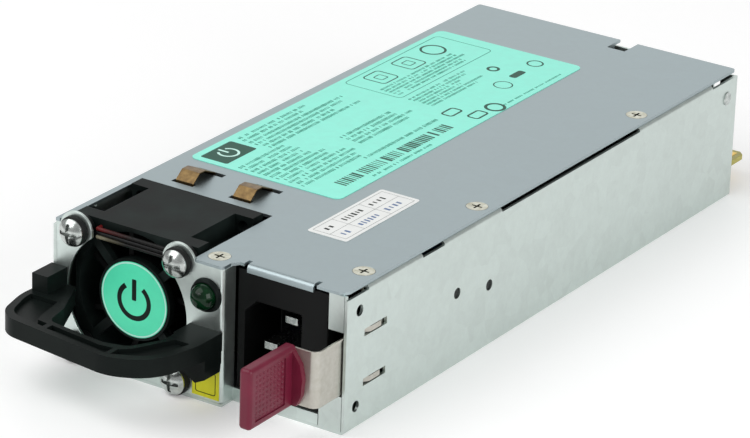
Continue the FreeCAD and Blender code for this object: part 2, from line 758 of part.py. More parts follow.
def fan_inner():
    """Shaft, two bearings and the wound stator inside the rotor's cup."""
    axis = (FAN_X, "fan_height")
    rotor_end = FAN_Y + " + 2.6 + rotor_depth"
    keep("fan_shaft", rod("fan_shaft_rod", "y", axis, "fan_shaft_radius", (FAN_Y + " + 2", rotor_end)))
    rings = []
    for i, start in enumerate((FAN_Y + " + 2", FAN_Y + " + 11.5")):
        outer = rod("bearing_outer_%d" % i, "y", axis, "bearing_radius - 0.01",
                    (start, start + " + bearing_width"))
        inner = rod("bearing_inner_%d" % i, "y", axis, "fan_shaft_radius + running_fit",
                    (start + " - 1", start + " + bearing_width + 1"))
        rings.append(cut("bearing_%d" % i, outer, inner))
    keep("fan_bearings", group("fan_bearing_pair", *rings))
    span = (FAN_Y + " + 4", FAN_Y + " + 13")
    core = rod("stator_core", "y", axis, "rotor_radius - rotor_wall - 0.6", span)
    tools = [rod("stator_bore", "y", axis, "bearing_radius + 1.25", (FAN_Y, FAN_REAR))]
    for i in range(4):
        angle = math.radians(45 + 90 * i)
        tools.append(rod("stator_slot_%d" % i, "y",
                         ("%s + 7.2 * %.5f" % (FAN_X, math.cos(angle)),
                          "fan_height + 7.2 * %.5f" % math.sin(angle)), "1.5", (FAN_Y, FAN_REAR)))
    keep("fan_stator", cut("fan_stator_cut", core, *tools))


def fan_fixings():
    """Rubber grommets through the front plate and the pan-head screws that hold the fan."""
    grommets = []
    screws = []
    face = FACE
    for i, (x, z) in enumerate(fan_corners()):
        front = rod("collar_front_%d" % i, "y", (x, z), "grommet_radius", (face + " - grommet_collar", face))
        neck = rod("neck_%d" % i, "y", (x, z), "grommet_neck", (face + " - 0.1", FAN_Y))
        rear = rod("collar_rear_%d" % i, "y", (x, z), "grommet_rear_radius",
                   (face + " + sheet_gauge", FAN_Y))
        bore = rod("grommet_bore_%d" % i, "y", (x, z), "fan_screw_radius + 0.02", (face + " - 5", FAN_Y + " + 1"))
        grommets.append(cut("grommet_%d" % i, join("grommet_solid_%d" % i, front, neck, rear), bore))
        seat = face + " - grommet_collar"
        crown = common("crown_%d" % i,
                       rod("head_%d" % i, "y", (x, z), "fan_screw_head", (seat + " - 2.1", seat)),
                       ball("dome_%d" % i, (x, seat + " + 2.7", z), "4.9"))
        shank = rod("shank_%d" % i, "y", (x, z), "fan_screw_radius", (seat + " - 0.1", seat + " + fan_screw_length"))
        recess = cross("fan_cross_%d" % i, "y", (x, z), (seat + " - 3", seat + " - 1.1"), "2.6", "1.0")
        screws.append(cut("fan_screw_%d" % i, join("fan_screw_solid_%d" % i, crown, shank), *recess))
    keep("fan_grommets", group("fan_grommet_set", *grommets))
    keep("fan_screws", group("fan_screw_set", *screws))


LEADS = (("red", "2.1"), ("black", "3.2"), ("yellow", "4.3"))


def fan_leads():
    """Three insulated leads that cross the front of the fan and pass into its frame."""
    for colour, drop in LEADS:
        keep("fan_lead_" + colour, lead("lead_" + colour, "(fan_height + fan_size / 2 - %s)" % drop, "0.5"))


def lead(name, z, radius):
    """One lead: out of the frame's face, across, and back into it, with a ball at each turn."""
    front = "(%s - 1.5)" % FAN_Y
    left = "(-fan_left - ear_opening)"
    right = "(-fan_left + ear_opening)"
    return join(
        name,
        rod(name + "_out", "y", (left, z), radius, (front, FAN_Y)),
        rod(name + "_across", "x", (front, z), radius, (left, right)),
        rod(name + "_back", "y", (right, z), radius, (front, FAN_Y)),
        ball(name + "_turn_out", (left, front, z), radius),
        ball(name + "_turn_back", (right, front, z), radius),
    )


# ---------------------------------------------------------------- front fittings

HANDLE_SCREWS = (("(1.9 - case_width / 2 + sheet_gauge)", "(handle_height + 0.5)"),
                 ("(panel_right - 5)", "(handle_height - 1)"))


def handle():
    """Moulded D-shaped pull: a band with roots at both ends and a pocketed upper face."""
    pull = body("handle_body")
    loop = drawing(pull, "loop", "XY_Plane", "handle_height")
    outer = "(-case_width / 2 - 0.5)"
    front = "(-handle_reach)"
    inner = "(handle_band - handle_reach)"
    right = "(panel_right)"
    outline(loop, [
        (outer, FACE), (outer + " - 0.9", front + " + 17.7"), (outer + " + 2.3", front + " + 4.6"),
        (right + " - 14", front), (right + " - 3.2", front + " + 5.2"), (right, front + " + 19.2"),
        (right, FACE), (right + " - 9.4", FACE),
        (right + " - 9.0", front + " + 17.2"), (right + " - 13.5", inner + " + 1.6"),
        (right + " - 20", inner + " - 0.2"), (outer + " + 23.5", inner + " + 0.8"),
        (outer + " + 14.9", inner + " + 2"), (outer + " + 13.2", inner + " + 10"), (outer + " + 7.6", FACE),
    ])
    pad(pull, loop, "handle_gauge")
    round_corners(pull, loop, (1, 5), "20")
    round_corners(pull, loop, (2,), "8")
    round_corners(pull, loop, (3, 4), "14")
    round_corners(pull, loop, (8, 9, 10), "4")
    round_corners(pull, loop, (12, 13), "2.5")
    groove = drawing(pull, "top_pocket", "XY_Plane", "handle_height + handle_gauge - 1.2")
    outline(groove, [
        (outer + " + 1.2", front + " + 19"), (outer + " + 1.2", front + " + 16.7"),
        (outer + " + 4.1", front + " + 6.9"), (outer + " + 15.5", front + " + 5.3"),
        (outer + " + 15.5", inner + " + 0.2"), (outer + " + 12.3", inner + " + 0.6"),
        (outer + " + 11.3", inner + " + 3.2"), (outer + " + 9.6", front + " + 19"),
    ])
    outline(groove, [
        (outer + " + 17.1", front + " + 4.8"), (right + " - 16", front + " + 2.2"),
        (right + " - 16", inner + " - 1.4"), (right + " - 20", inner + " - 2"),
        (outer + " + 17.1", inner + " + 0.1"),
    ])
    outline(groove, [
        (right + " - 14.6", front + " + 2.4"), (right + " - 5.2", front + " + 7"),
        (right + " - 2.4", front + " + 18.7"), (right + " - 6.7", front + " + 18.7"),
        (right + " - 12", inner + " + 1"), (right + " - 14.6", inner + " - 1.4"),
    ])
    pocket(pull, groove, "2")
    round_corners(pull, groove, (1,), "13")
    round_corners(pull, groove, (2,), "6")
    round_corners(pull, groove, (14,), "8")
    roots(pull)
    return keep("handle", pull)


def roots(pull):
    """Blocks that seat the band's ends on the front plate."""
    outer = "(-case_width / 2 - 0.5)"
    left = drawing(pull, "left_root", "XZ_Plane", "fan_step")
    rectangle(left, (outer, outer + " + 4.9"), ("handle_height - 3.4", "handle_height + 9.8"))
    pad(pull, left, "8.2")
    right = drawing(pull, "right_root", "XZ_Plane", "fan_step")
    rectangle(right, ("panel_right - 9.8", "panel_right - 0.2"),
              ("handle_height - 3.5", "handle_height + handle_gauge"))
    pad(pull, right, "7")
    point = drawing(pull, "root_point", "XZ_Plane", "fan_step + label_gauge + 0.1")
    outline(point, [
        ("panel_right - 9.8", "handle_height - 3.4"), ("panel_right - 3.4", "handle_height - 7.2"),
        ("panel_right - 0.4", "handle_height - 5.7"), ("panel_right - 0.2", "handle_height - 3.4"),
    ])
    pad(pull, point, "6.5")
    holes = drawing(pull, "handle_holes", "XZ_Plane", "fan_step - 1")
    for x, z in HANDLE_SCREWS:
        circle(holes, x, z, "1.0")
    pocket(pull, holes, "7.5", forwards=True)


def handle_screws():
    """Small screws from inside the front plate into the handle's roots."""
    screws = []
    seat = FACE + " + sheet_gauge"
    for i, (x, z) in enumerate(HANDLE_SCREWS):
        head = rod("handle_screw_head_%d" % i, "y", (x, z), "1.7", (seat, seat + " + 1.2"))
        shank = rod("handle_screw_shank_%d" % i, "y", (x, z), "0.98", (seat + " - 6.5", seat + " + 0.1"))
        screws.append(join("handle_screw_%d" % i, head, shank))
    keep("handle_screws", group("handle_screw_pair", *screws))


def status_light():
    """Round-topped indicator in a black clip ring."""
    axis = ("led_left", "led_height")
    lens = join("led_solid",
                rod("led_barrel", "y", axis, "led_radius", (FACE + " - 1.2", FACE + " + 3")),
                ball("led_dome", ("led_left", FACE + " - 1.2", "led_height"), "led_radius"))
    keep("status_lens", lens)
    ring = cone("led_flange", "y", axis, ("led_ring_radius - 0.5", "led_ring_radius"), (FACE + " - 1.4", FACE))
    neck = rod("led_neck", "y", axis, "led_radius + 0.45", (FACE + " - 0.1", FACE + " + 3.4"))
    bore = rod("led_bore", "y", axis, "led_radius + 0.02", (FACE + " - 3", FACE + " + 4"))
    keep("status_ring", cut("led_ring", join("led_ring_solid", ring, neck), bore))


def inlet():
    """Mains inlet: moulded housing with its socket and three flat pins."""
    housing = body("inlet_housing_body")
    face = drawing(housing, "inlet_face", "XZ_Plane", "-sheet_gauge")
    rectangle(face, ("panel_right + free_gap", "inlet_edge - 0.6"),
              ("inlet_floor - 1.2", "case_height - 1.8"))
    pad(housing, face, "inlet_flange", backwards=True)
    shell = drawing(housing, "inlet_shell", "XZ_Plane", "-sheet_gauge")
    half_w = "(socket_width / 2 + 1.5)"
    half_h = "(socket_height / 2 + 1.3)"
    low_edge = "inlet_height - " + half_h
    rectangle(shell, ("inlet_left - " + half_w, "inlet_left + " + half_w),
              (low_edge, "inlet_height + " + half_h))
    pad(housing, shell, "inlet_body_depth", backwards=True)
    mouth = drawing(housing, "socket", "XZ_Plane", "1 - sheet_gauge")
    half_w = "socket_width / 2"
    half_h = "socket_height / 2"
    outline(mouth, [
        ("inlet_left - %s + socket_chamfer" % half_w, "inlet_height - " + half_h),
        ("inlet_left + " + half_w, "inlet_height - " + half_h),
        ("inlet_left + " + half_w, "inlet_height + " + half_h),
        ("inlet_left - %s + socket_chamfer" % half_w, "inlet_height + " + half_h),
        ("inlet_left - " + half_w, "inlet_height + %s - socket_chamfer" % half_h),
        ("inlet_left - " + half_w, "inlet_height - %s + socket_chamfer" % half_h),
    ])
    pocket(housing, mouth, "socket_depth + 1", forwards=False)
    seats = drawing(housing, "pin_seats", "XZ_Plane", "-sheet_gauge")
    for x, z, _ in inlet_pin_places():
        rectangle(seats, ("%s - pin_width / 2" % x, "%s + pin_width / 2" % x),
                  ("%s - pin_gauge / 2" % z, "%s + pin_gauge / 2" % z))
    pocket(housing, seats, "inlet_body_depth + 1", forwards=False)
    keep("inlet_housing", housing)
    pins = []
    for i, (x, z, tip) in enumerate(inlet_pin_places()):
        pins.append(box("inlet_pin_%d" % i, ("%s - pin_width / 2" % x, "%s + pin_width / 2" % x),
                        (tip, "sheet_gauge + inlet_body_depth + 5"),
                        ("%s - pin_gauge / 2" % z, "%s + pin_gauge / 2" % z)))
    keep("inlet_pins", group("inlet_pin_set", *pins))


def inlet_pin_places():
    """Earth pin, longer and nearer the chamfered side, then the two line pins: x, z, tip."""
    line_x = "(inlet_left + pin_offset)"
    return [
        ("(inlet_left - pin_offset)", "inlet_height", "3"),
        (line_x, "(inlet_height + pin_pitch / 2)", "6"),
        (line_x, "(inlet_height - pin_pitch / 2)", "6"),
    ]


# ---------------------------------------------------------------- release latch

STRIP_LOW = "(latch_height - latch_strip_height / 2)"


def latch_strip():
    """Spring steel leaf along the right wall, turned across the front, with two catches."""
    leaf = body("latch_strip_body")
    path = drawing(leaf, "leaf", "XY_Plane", STRIP_LOW)
    front = "(-latch_reach)"
    inner_x = "(%s - latch_strip_gauge)" % STRIP_X
    outline(path, [
        (STRIP_X, "latch_root"), (STRIP_X, front), ("grip_left + 0.4", front),
        ("grip_left + 0.4", front + " + latch_strip_gauge"),
        (inner_x, front + " + latch_strip_gauge"), (inner_x, "latch_root"),
    ])
    pad(leaf, path, "latch_strip_height")
    round_corners(leaf, path, (1,), "2.2")
    round_corners(leaf, path, (4,), "2.2 - latch_strip_gauge")
    waist = drawing(leaf, "leaf_waist", "YZ_Plane", STRIP_X + " - 2")
    for sign in ("+", "-"):
        side = "latch_height %s latch_strip_height / 2" % sign
        near = "%s %s 1" % (side, sign)
        far = "%s %s 3" % (side, "-" if sign == "+" else "+")
        outline(waist, [("catch_far + 4", near), ("latch_root + 1", near),
                        ("latch_root + 1", far), ("catch_far + 8", far)])
    pocket(leaf, waist, "3")
    for i, sign in enumerate("+-"):
        low = "latch_height %s catch_offset - catch_height / 2" % sign
        tooth = drawing(leaf, "catch_%d" % i, "XY_Plane", low)
        outline(tooth, [
            (STRIP_X + " - 0.2", "catch_near + 0.6"), (HALF + " - 0.1", "catch_near + 3"),
            (HALF + " - 0.1", "catch_far - 2.4"), (STRIP_X + " - 0.2", "catch_far - 0.6"),
        ])
        pad(leaf, tooth, "catch_height")
    return keep("latch_strip", leaf)


def latch_grip():
    """Moulded thumb grip with a recessed field and a curved stop flange at its rear."""
    grip = body("latch_grip_body")
    low = "(latch_height - grip_height / 2)"
    rear = "(-latch_reach)"
    front = "(-latch_reach - grip_length)"
    right = "(grip_left + grip_gauge)"
    slab = drawing(grip, "grip_slab", "XY_Plane", low)
    rectangle(slab, ("grip_left", right), (front, rear))
    pad(grip, slab, "grip_height")
    doc.recompute()
    reach = -SIZES["latch_reach"] - 0.01
    round_edges(grip, "grip_soft", "1.1", lambda edge: edge.BoundBox.YMax < reach or along(edge, 1))
    stop = drawing(grip, "grip_stop", "XZ_Plane", "latch_reach")
    outline(stop, [
        ("grip_left", low + " + 0.4"), (right + " + 1.4", low + " + 0.8"),
        (right + " + 2.7", low + " + 3.6"), (right + " + 3.1", low + " + grip_height / 2"),
        (right + " + 2.3", low + " + grip_height - 4.2"), (right + " - 0.4", low + " + grip_height - 0.6"),
        ("grip_left", low + " + grip_height - 0.6"),
    ])
    pad(grip, stop, "1.5")
    field = drawing(grip, "grip_field", "YZ_Plane", right + " - 0.35")
    rectangle(field, (front + " + 2.2", rear + " - 4.2"), (low + " + 1.8", low + " + grip_height - 1.8"))
    pocket(grip, field, "1")
    return keep("latch_grip", grip)


def latch_anchor():
    """Fixed end of the leaf: a plate on the right wall and its two rivets."""
    inner = WALL_IN + " - 1.2"
    middle = "latch_height"
    plate = box("anchor_plate", (inner, WALL_IN), ("latch_root + free_gap", "latch_root + 23"),
                (middle + " - 5.5", middle + " + 5.5"))
    holes = []
    rivets = []
    for i, (y, z) in enumerate(RIVETS):
        holes.append(rod("anchor_hole_%d" % i, "x", (y, z), "1.42", (inner + " - 1", HALF)))
        shank = rod("rivet_shank_%d" % i, "x", (y, z), "1.4", (inner + " - 0.1", HALF + " - 0.35"))
        head = rod("rivet_head_%d" % i, "x", (y, z), "2.2", (inner + " - 0.8", inner))
        rivets.append(join("rivet_%d" % i, shank, head))
    keep("latch_anchor", cut("latch_anchor_cut", plate, *holes))
    keep("latch_rivets", group("latch_rivet_pair", *rivets))


# ---------------------------------------------------------------- labels and springs

def labels():
    """Adhesive labels: two on the cover, one below the status light, a disc on the fan's hub."""
    for name, x, y, corner in (
        ("rating_label", ("3.7 - case_width / 2", "8"), ("48", "(case_depth - 25.7)"), "2.2"),
        ("table_label", ("12.6", "24.6"), ("26.7", "60.7"), "0.8"),
    ):
        paper = body(name + "_body")
        face = drawing(paper, name + "_face", "XY_Plane", "case_height")
        rectangle(face, x, y)
        pad(paper, face, "label_gauge")
        round_corners(paper, face, (0, 1, 2, 3), corner)
        keep(name, paper)
    beside_fan = "(-fan_left + fan_pitch / 2 + grommet_radius + label_margin)"
    keep("yellow_label", box("yellow_face", (beside_fan, "panel_right - label_margin"),
                             (FACE + " - label_gauge", FACE),
                             ("sheet_gauge + label_margin", "sheet_gauge + label_margin + caution_height")))
    keep("hub_disc", rod("hub_disc_face", "y", (FAN_X, "fan_height"), "disc_radius",
                         (FAN_Y + " - hub_proud - label_gauge", FAN_Y + " - hub_proud")))


def spring_fingers():
    """Two copper contact springs, each clipped round the cover through a pair of slots."""
    near = FINGER_FRONT
    far = "(%s + %s)" % (FINGER_FRONT, FINGER_SPAN)
    pieces = []
    for i, x in enumerate(FINGERS):
        spring = body("spring_finger_%d" % i)
        side = drawing(spring, "finger_profile_%d" % i, "YZ_Plane", x + " - 2.8")
        outline(side, [
            (near + " - 0.15", TOP + " - 0.35"), (far + " + 0.35", TOP + " - 0.35"),
            (far + " + 0.25", "case_height + 0.4"), (near + " + 5.2", "case_height + 2.5"),
            (near + " + 2.7", "case_height + 2.5"), (near + " - 0.05", "case_height + 0.35"),
        ])
        outline(side, [
            (near + " + 0.15", TOP), (far + " + 0.05", TOP),
            (far, "case_height + 0.2"), (near + " + 5.1", "case_height + 2.2"),
            (near + " + 2.8", "case_height + 2.2"), (near + " + 0.25", "case_height + 0.2"),
        ])
        pad(spring, side, "5.6")
        pieces.append(spring)
    return keep("spring_fingers", group("spring_finger_pair", *pieces))


# ---------------------------------------------------------------- board and what it carries

BOARD_REAR = "(case_depth - rear_room)"
POST_ROWS = (("6", "board_front + 5"), ("2.8", "board_front + 46"), ("4", BOARD_REAR + " - 5"))
POSTS = [("%s(board_half_width - %s)" % (side, inset), y) for inset, y in POST_ROWS for side in ("-", "")]


def main_board():
    """Circuit board whose tail is the card edge that plugs in at the rear."""
    board = body("main_board_body")
    flat = drawing(board, "board_flat", "XY_Plane", "board_height")
    end = "(case_depth + tail_reach)"
    outline(flat, [
        ("-board_half_width", "board_front"), ("board_half_width", "board_front"),
        ("board_half_width", BOARD_REAR), ("tail_right", BOARD_REAR), ("tail_right", end + " - 1.5"),
        ("tail_right - 1.5", end), ("1.5 - tail_left", end), ("-tail_left", end + " - 1.5"),
        ("-tail_left", BOARD_REAR), ("-board_half_width", BOARD_REAR),
    ])
    pad(board, flat, "board_gauge")
    holes = drawing(board, "board_holes", "XY_Plane", "board_height - 1")
    for x, y in POSTS:
        circle(holes, x, y, "1.5")
    pocket(board, holes, "board_gauge + 2")
    keep("main_board", board)
    posts = []
    screws = []
    for i, (x, y) in enumerate(POSTS):
        post = rod("post_%d" % i, "z", (x, y), "2.6", ("sheet_gauge", "board_height"))
        tap = rod("post_tap_%d" % i, "z", (x, y), "1.2", ("sheet_gauge + 0.6", "board_height + 1"))
        posts.append(cut("board_post_%d" % i, post, tap))
        head = rod("board_screw_head_%d" % i, "z", (x, y), "2.6", (BOARD_TOP, BOARD_TOP + " + 1.6"))
        shank = rod("board_screw_shank_%d" % i, "z", (x, y), "1.19", ("board_height - 3", BOARD_TOP + " + 0.1"))
        screws.append(join("board_screw_%d" % i, head, shank))
    keep("board_posts", group("board_post_set", *posts))
    keep("board_screws", group("board_screw_set", *screws))


CONTACT_KINDS = ("power", "power") + ("signal",) * 10 + ("power", "power")


def edge_contacts():
    """Gold contacts on both faces of the card edge: wide power pads and a row of signal pads."""
    pads = []
    signals = CONTACT_KINDS.count("signal")
    powers = CONTACT_KINDS.count("power")
    gaps = len(CONTACT_KINDS) - 1
    power = "((tail_left + tail_right - 2 * contact_margin - %d * signal_width - %d * contact_gap) / %d)" % (
        signals, gaps, powers)
    widths = {"power": power, "signal": "signal_width"}
    start = "(contact_margin - tail_left)"
    end = "(case_depth + tail_reach)"
    for i, kind in enumerate(CONTACT_KINDS):
        before = CONTACT_KINDS[:i]
        low = "(%s + %d * %s + %d * signal_width + %d * contact_gap)" % (
            start, before.count("power"), power, before.count("signal"), i)
        span = (low, "%s + %s" % (low, widths[kind]))
        depth = (end + " - 10", end + " - 1.6")
        pads.append(box("contact_upper_%d" % i, span, depth, (BOARD_TOP, BOARD_TOP + " + 0.08")))
        pads.append(box("contact_lower_%d" % i, span, depth, ("board_height - 0.08", "board_height")))
    keep("edge_contacts", group("edge_contact_set", *pads))


def insulator():
    """Thin insulating sheet on the floor under the board."""
    film = body("insulator_body")
    flat = drawing(film, "film_flat", "XY_Plane", "sheet_gauge")
    rectangle(flat, ("2 - board_half_width", "board_half_width - 2"), ("board_front", BOARD_REAR))
    pad(film, flat, "0.4")
    holes = drawing(film, "film_holes", "XY_Plane", "0")
    for x, y in POSTS:
        circle(holes, x, y, "3")
    pocket(film, holes, "sheet_gauge + 1")
    return keep("insulator_sheet", film)


def lying_can(name, x, y, radius, length):
    """An electrolytic can lying on the board along Y."""
    top = BOARD_TOP
    return rod(name, "y", (x, "%s + %s" % (top, radius)), radius, (y, "%s + %s" % (y, length)))


def chip(name, x, y, size, height):
    """A block that stands on the board, centred at x, y."""
    return box(name, ("%s - %s / 2" % (x, size[0]), "%s + %s / 2" % (x, size[0])),
               ("%s - %s / 2" % (y, size[1]), "%s + %s / 2" % (y, size[1])),
               (BOARD_TOP, "%s + %s" % (BOARD_TOP, height)))


def ring_core(name, x, y, big, small):
    """A wound toroid lying flat on the board."""
    solid = doc.addObject("Part::Torus", name)
    bind(solid, "Radius1", big)
    bind(solid, "Radius2", small)
    bind(solid, "Placement.Base.x", x)
    bind(solid, "Placement.Base.y", y)
    bind(solid, "Placement.Base.z", "%s + %s" % (BOARD_TOP, small))
    return solid


def fin_block(name, x, y, size):
    """A comb heatsink along Y: an upright plate with short fins towards +X."""
    plate = box(name + "_plate", (x, "%s + 2.5" % x), (y, "%s + %s" % (y, size)),
                (BOARD_TOP, BOARD_TOP + " + part_height"))
    fins = [plate]
    for i in range(5):
        base = "%s + %s + 2 + %d" % (BOARD_TOP, "0", 5 * i)
        fins.append(box("%s_fin_%d" % (name, i), ("%s + 2" % x, "%s + 8" % x), (y, "%s + %s" % (y, size)),
                        (base, base + " + 1.2")))
    return join(name, *fins)


def transistors(name, x, places, row_y):
    """Flat power packages against a heatsink's plate."""
    cases = []
    for i in range(places):
        y = "%s + %d" % (row_y, 4 + 12 * i)
        cases.append(box("%s_%d" % (name, i), (x + " - 3", x), (y, y + " + 9"), (BOARD_TOP + " + 3", BOARD_TOP + " + 15")))
    return group(name + "_set", *cases)


def transformer(x, y):
    """Main transformer: ferrite core with a wound bobbin round its middle leg."""
    height = "part_height - 1"
    outer = chip("core_block", x, y, ("34", "24"), height)
    windows = []
    for i, side in enumerate(("-", "+")):
        middle = "(%s %s 9.5)" % (x, side)
        windows.append(box("core_window_%d" % i, (middle + " - 4", middle + " + 4"), (y + " - 20", y + " + 20"),
                           (BOARD_TOP + " + 4.5", BOARD_TOP + " + part_height - 5.5")))
    keep("transformer_core", cut("transformer_core_cut", outer, *windows))
    low = BOARD_TOP + " + 4.7"
    high = BOARD_TOP + " + part_height - 5.7"
    bobbin = box("winding_block", (x + " - 13.2", x + " + 13.2"), (y + " - 15.5", y + " + 15.5"), (low, high))
    hole = box("winding_hole", (x + " - 5.8", x + " + 5.8"), (y + " - 12.2", y + " + 12.2"), (low + " - 1", high + " + 1"))
    keep("transformer_winding", cut("transformer_winding_cut", bobbin, hole))


def past_front(distance):
    """A place at a distance behind the board's front edge."""
    return "(board_front + %s)" % distance


def before_rear(distance):
    """A place at a distance before the board's rear edge."""
    return "(%s - %s)" % (BOARD_REAR, distance)


def from_left(distance):
    """A place at a distance from the case's left face."""
    return "(%s - case_width / 2)" % distance


def from_right(distance):
    """A place at a distance from the case's right face."""
    return "(case_width / 2 - %s)" % distance


def input_parts():
    """From the inlet: filter, fuse, rectifier and storage capacitors."""
    cans = []
    for i, x in enumerate(("bulk_can_radius + 2.2", "3 * bulk_can_radius + 2.6")):
        cans.append(lying_can("bulk_can_%d" % i, from_left("(%s)" % x), past_front("10"),
                              "bulk_can_radius", "bulk_can_length"))
    keep("bulk_capacitors", group("bulk_capacitor_pair", *cans))
    keep("input_choke", ring_core("input_ring", from_right("17.5"), past_front("16.4"), "7.5", "4.6"))
    films = [chip("film_block_%d" % i, from_right("18.6"), past_front("%d" % (34 + 10 * i)), ("18.8", "8"), "15")
             for i in range(2)]
    keep("film_capacitors", group("film_capacitor_pair", *films))
    keep("fuse", rod("fuse_tube", "x", (past_front("51.6"), BOARD_TOP + " + 2.6"), "2.6",
                     (from_right("29"), from_right("11"))))
    keep("bridge_rectifier", chip("bridge_block", from_right("19"), past_front("58"), ("20", "4"), "20"))
    keep("relay", chip("relay_block", from_right("13"), past_front("68"), ("11", "14"), "14"))


def output_parts():
    """From the power stage to the card edge."""
    keep("pfc_choke", ring_core("pfc_ring", from_left("14.6"), before_rear("74.4"), "8", "4.4"))
    sink = from_left("59")
    keep("primary_heatsink", fin_block("primary_fins", sink, before_rear("66"), "35"))
    keep("power_transistors", transistors("primary_packages", sink, 3, before_rear("67")))
    keep("standby_transformer", chip("standby_block", from_left("10.5"), before_rear("48.5"), ("11", "15"), "16"))
    transformer(from_left("38"), before_rear("46"))
    sink = from_left("10")
    keep("secondary_heatsink", fin_block("secondary_fins", sink, before_rear("39"), "32"))
    keep("rectifier_transistors", transistors("secondary_packages", sink, 2, before_rear("38")))
    cans = []
    for i in range(8):
        x = from_left("%d" % (29 + 11 * (i % 4)))
        y = before_rear("%.1f" % (24.5 - 11 * (i // 4)))
        cans.append(rod("output_can_%d" % i, "z", (x, y), "5", (BOARD_TOP, BOARD_TOP + " + 20")))
    keep("output_capacitors", group("output_can_set", *cans))
    bars = []
    for i in range(2):
        y = before_rear("%d" % (8 - 5 * i))
        bars.append(box("bus_bar_%d" % i, (from_left("19"), from_right("11")), (y, y + " + 1.5"),
                        (BOARD_TOP, BOARD_TOP + " + 12")))
    keep("output_bus_bars", group("bus_bar_pair", *bars))
    keep("control_board", box("control_board_flat", (from_right("6.5"), from_right("4.9")),
                              (before_rear("64"), before_rear("17")),
                              (BOARD_TOP, "case_height - cover_screw_length - free_gap")))


def side_rivet():
    """Rivet near the rear of the right wall, its low head outside and its seat inside."""
    y = "(case_depth - 5.5)"
    z = "(case_height - 7)"
    head = rod("side_rivet_head", "x", (y, z), "1.9", (HALF, HALF + " + 0.25"))
    return keep("side_rivet", head)


# ---------------------------------------------------------------- build, check, export

def build():
    flange_holes(chassis())
    top_cover()
    cover_screws()
    front_plate()
    rear_panel()
    fan_frame()
    fan_rotor()
    fan_inner()
    fan_fixings()
    fan_leads()
    handle()
    handle_screws()
    status_light()
    inlet()
    latch_strip()
    latch_grip()
    latch_anchor()
    labels()
    spring_fingers()
    main_board()
    edge_contacts()
    insulator()
    input_parts()
    output_parts()
    side_rivet()
    doc.recompute()


def check():
    """Stop before writing anything if an object failed or a piece has no sound shape."""
    for thing in doc.Objects:
        if any(word in thing.State for word in ("Invalid", "Error")):
            raise RuntimeError("%s is %s" % (thing.Name, thing.State))
    for piece in nodes:
        if piece.Shape.isNull() or not piece.Shape.isValid() or not piece.Shape.Solids:
            raise RuntimeError("%s has no sound shape" % piece.Label)


def export():
    for piece in nodes:
        piece.Shape.exportStep("parts/%s.step" % piece.Label)
        print("%-24s %2d solids %10.1f mm3" % (piece.Label, len(piece.Shape.Solids), piece.Shape.Volume))


build()
check()
export()
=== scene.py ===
import json
import math

import bmesh
import bpy
from mathutils import Matrix, Vector


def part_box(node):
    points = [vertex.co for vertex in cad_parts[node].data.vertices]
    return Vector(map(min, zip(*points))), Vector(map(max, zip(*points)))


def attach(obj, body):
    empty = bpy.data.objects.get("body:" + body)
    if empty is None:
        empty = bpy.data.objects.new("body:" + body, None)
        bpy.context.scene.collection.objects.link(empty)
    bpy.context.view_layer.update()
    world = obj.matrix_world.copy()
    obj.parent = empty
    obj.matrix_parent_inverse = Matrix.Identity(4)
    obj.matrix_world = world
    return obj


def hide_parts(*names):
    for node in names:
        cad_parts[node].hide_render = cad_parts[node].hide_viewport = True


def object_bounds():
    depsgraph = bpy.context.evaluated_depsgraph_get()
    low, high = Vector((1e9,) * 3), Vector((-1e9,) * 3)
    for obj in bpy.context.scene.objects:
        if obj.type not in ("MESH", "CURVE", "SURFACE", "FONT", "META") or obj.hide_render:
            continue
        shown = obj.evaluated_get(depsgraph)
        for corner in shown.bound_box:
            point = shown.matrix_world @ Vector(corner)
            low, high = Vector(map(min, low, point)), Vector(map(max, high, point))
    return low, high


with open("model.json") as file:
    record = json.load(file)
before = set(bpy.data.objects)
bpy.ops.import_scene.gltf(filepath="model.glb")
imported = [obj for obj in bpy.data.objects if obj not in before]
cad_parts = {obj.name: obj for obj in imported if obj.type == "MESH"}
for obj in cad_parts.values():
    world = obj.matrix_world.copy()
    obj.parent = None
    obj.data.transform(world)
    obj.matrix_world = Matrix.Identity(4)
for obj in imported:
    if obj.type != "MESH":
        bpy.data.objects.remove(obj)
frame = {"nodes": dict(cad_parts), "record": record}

# The hot swap power supply, dressed. The scene is in metres, +X to the right seen from the front, +Y to the
# rear, +Z up. Sizes are written in millimetres and MM turns them to metres.
MM = 0.001
CAD_BOX = [list(corner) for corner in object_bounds()]
SLOT_OF = {row["node"]: row["material_slot"] for row in frame["record"]["subparts"]}
BODY_OF = {node: body for body, nodes in frame["record"]["behaviour"]["bodies"].items() for node in nodes}

# Places taken from the frame: the fan's axis and the rear end of the case.
FAN_AXIS = next(Vector(joint["pos_m"]) for joint in frame["record"]["behaviour"]["joints"]
                if joint["name"] == "fan_spin")
CASE_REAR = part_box("top_cover")[1].y


# ---------------------------------------------------------------- nodes and colours

def linear(code):
    """A colour written as sRGB hex, turned to the linear values that shaders read."""
    def channel(start):
        value = int(code[start:start + 2], 16) / 255
        return value / 12.92 if value <= 0.04045 else ((value + 0.055) / 1.055) ** 2.4
    return (channel(0), channel(2), channel(4), 1.0)


def scaled(colour, factor):
    """A linear colour made lighter or darker."""
    return [min(1.0, value * factor) for value in colour[:3]] + [1.0]


def scale_for(grain):
    """The texture scale whose features are about grain millimetres across."""
    return 1 / (grain * MM)


def socket(sockets, name):
    """A socket by its number, or the one of that name that is in use."""
    if isinstance(name, int):
        return sockets[name]
    return next(each for each in sockets if each.name == name and each.enabled)


def feed(tree, node, inputs):
    """Give a node its inputs: values, sockets to link, or nodes, whose first output in use is linked."""
    for name, value in inputs.items():
        if isinstance(value, bpy.types.Node):
            value = next(output for output in value.outputs if output.enabled)
        if isinstance(value, bpy.types.NodeSocket):
            tree.links.new(value, socket(node.inputs, name))
        else:
            socket(node.inputs, name).default_value = value


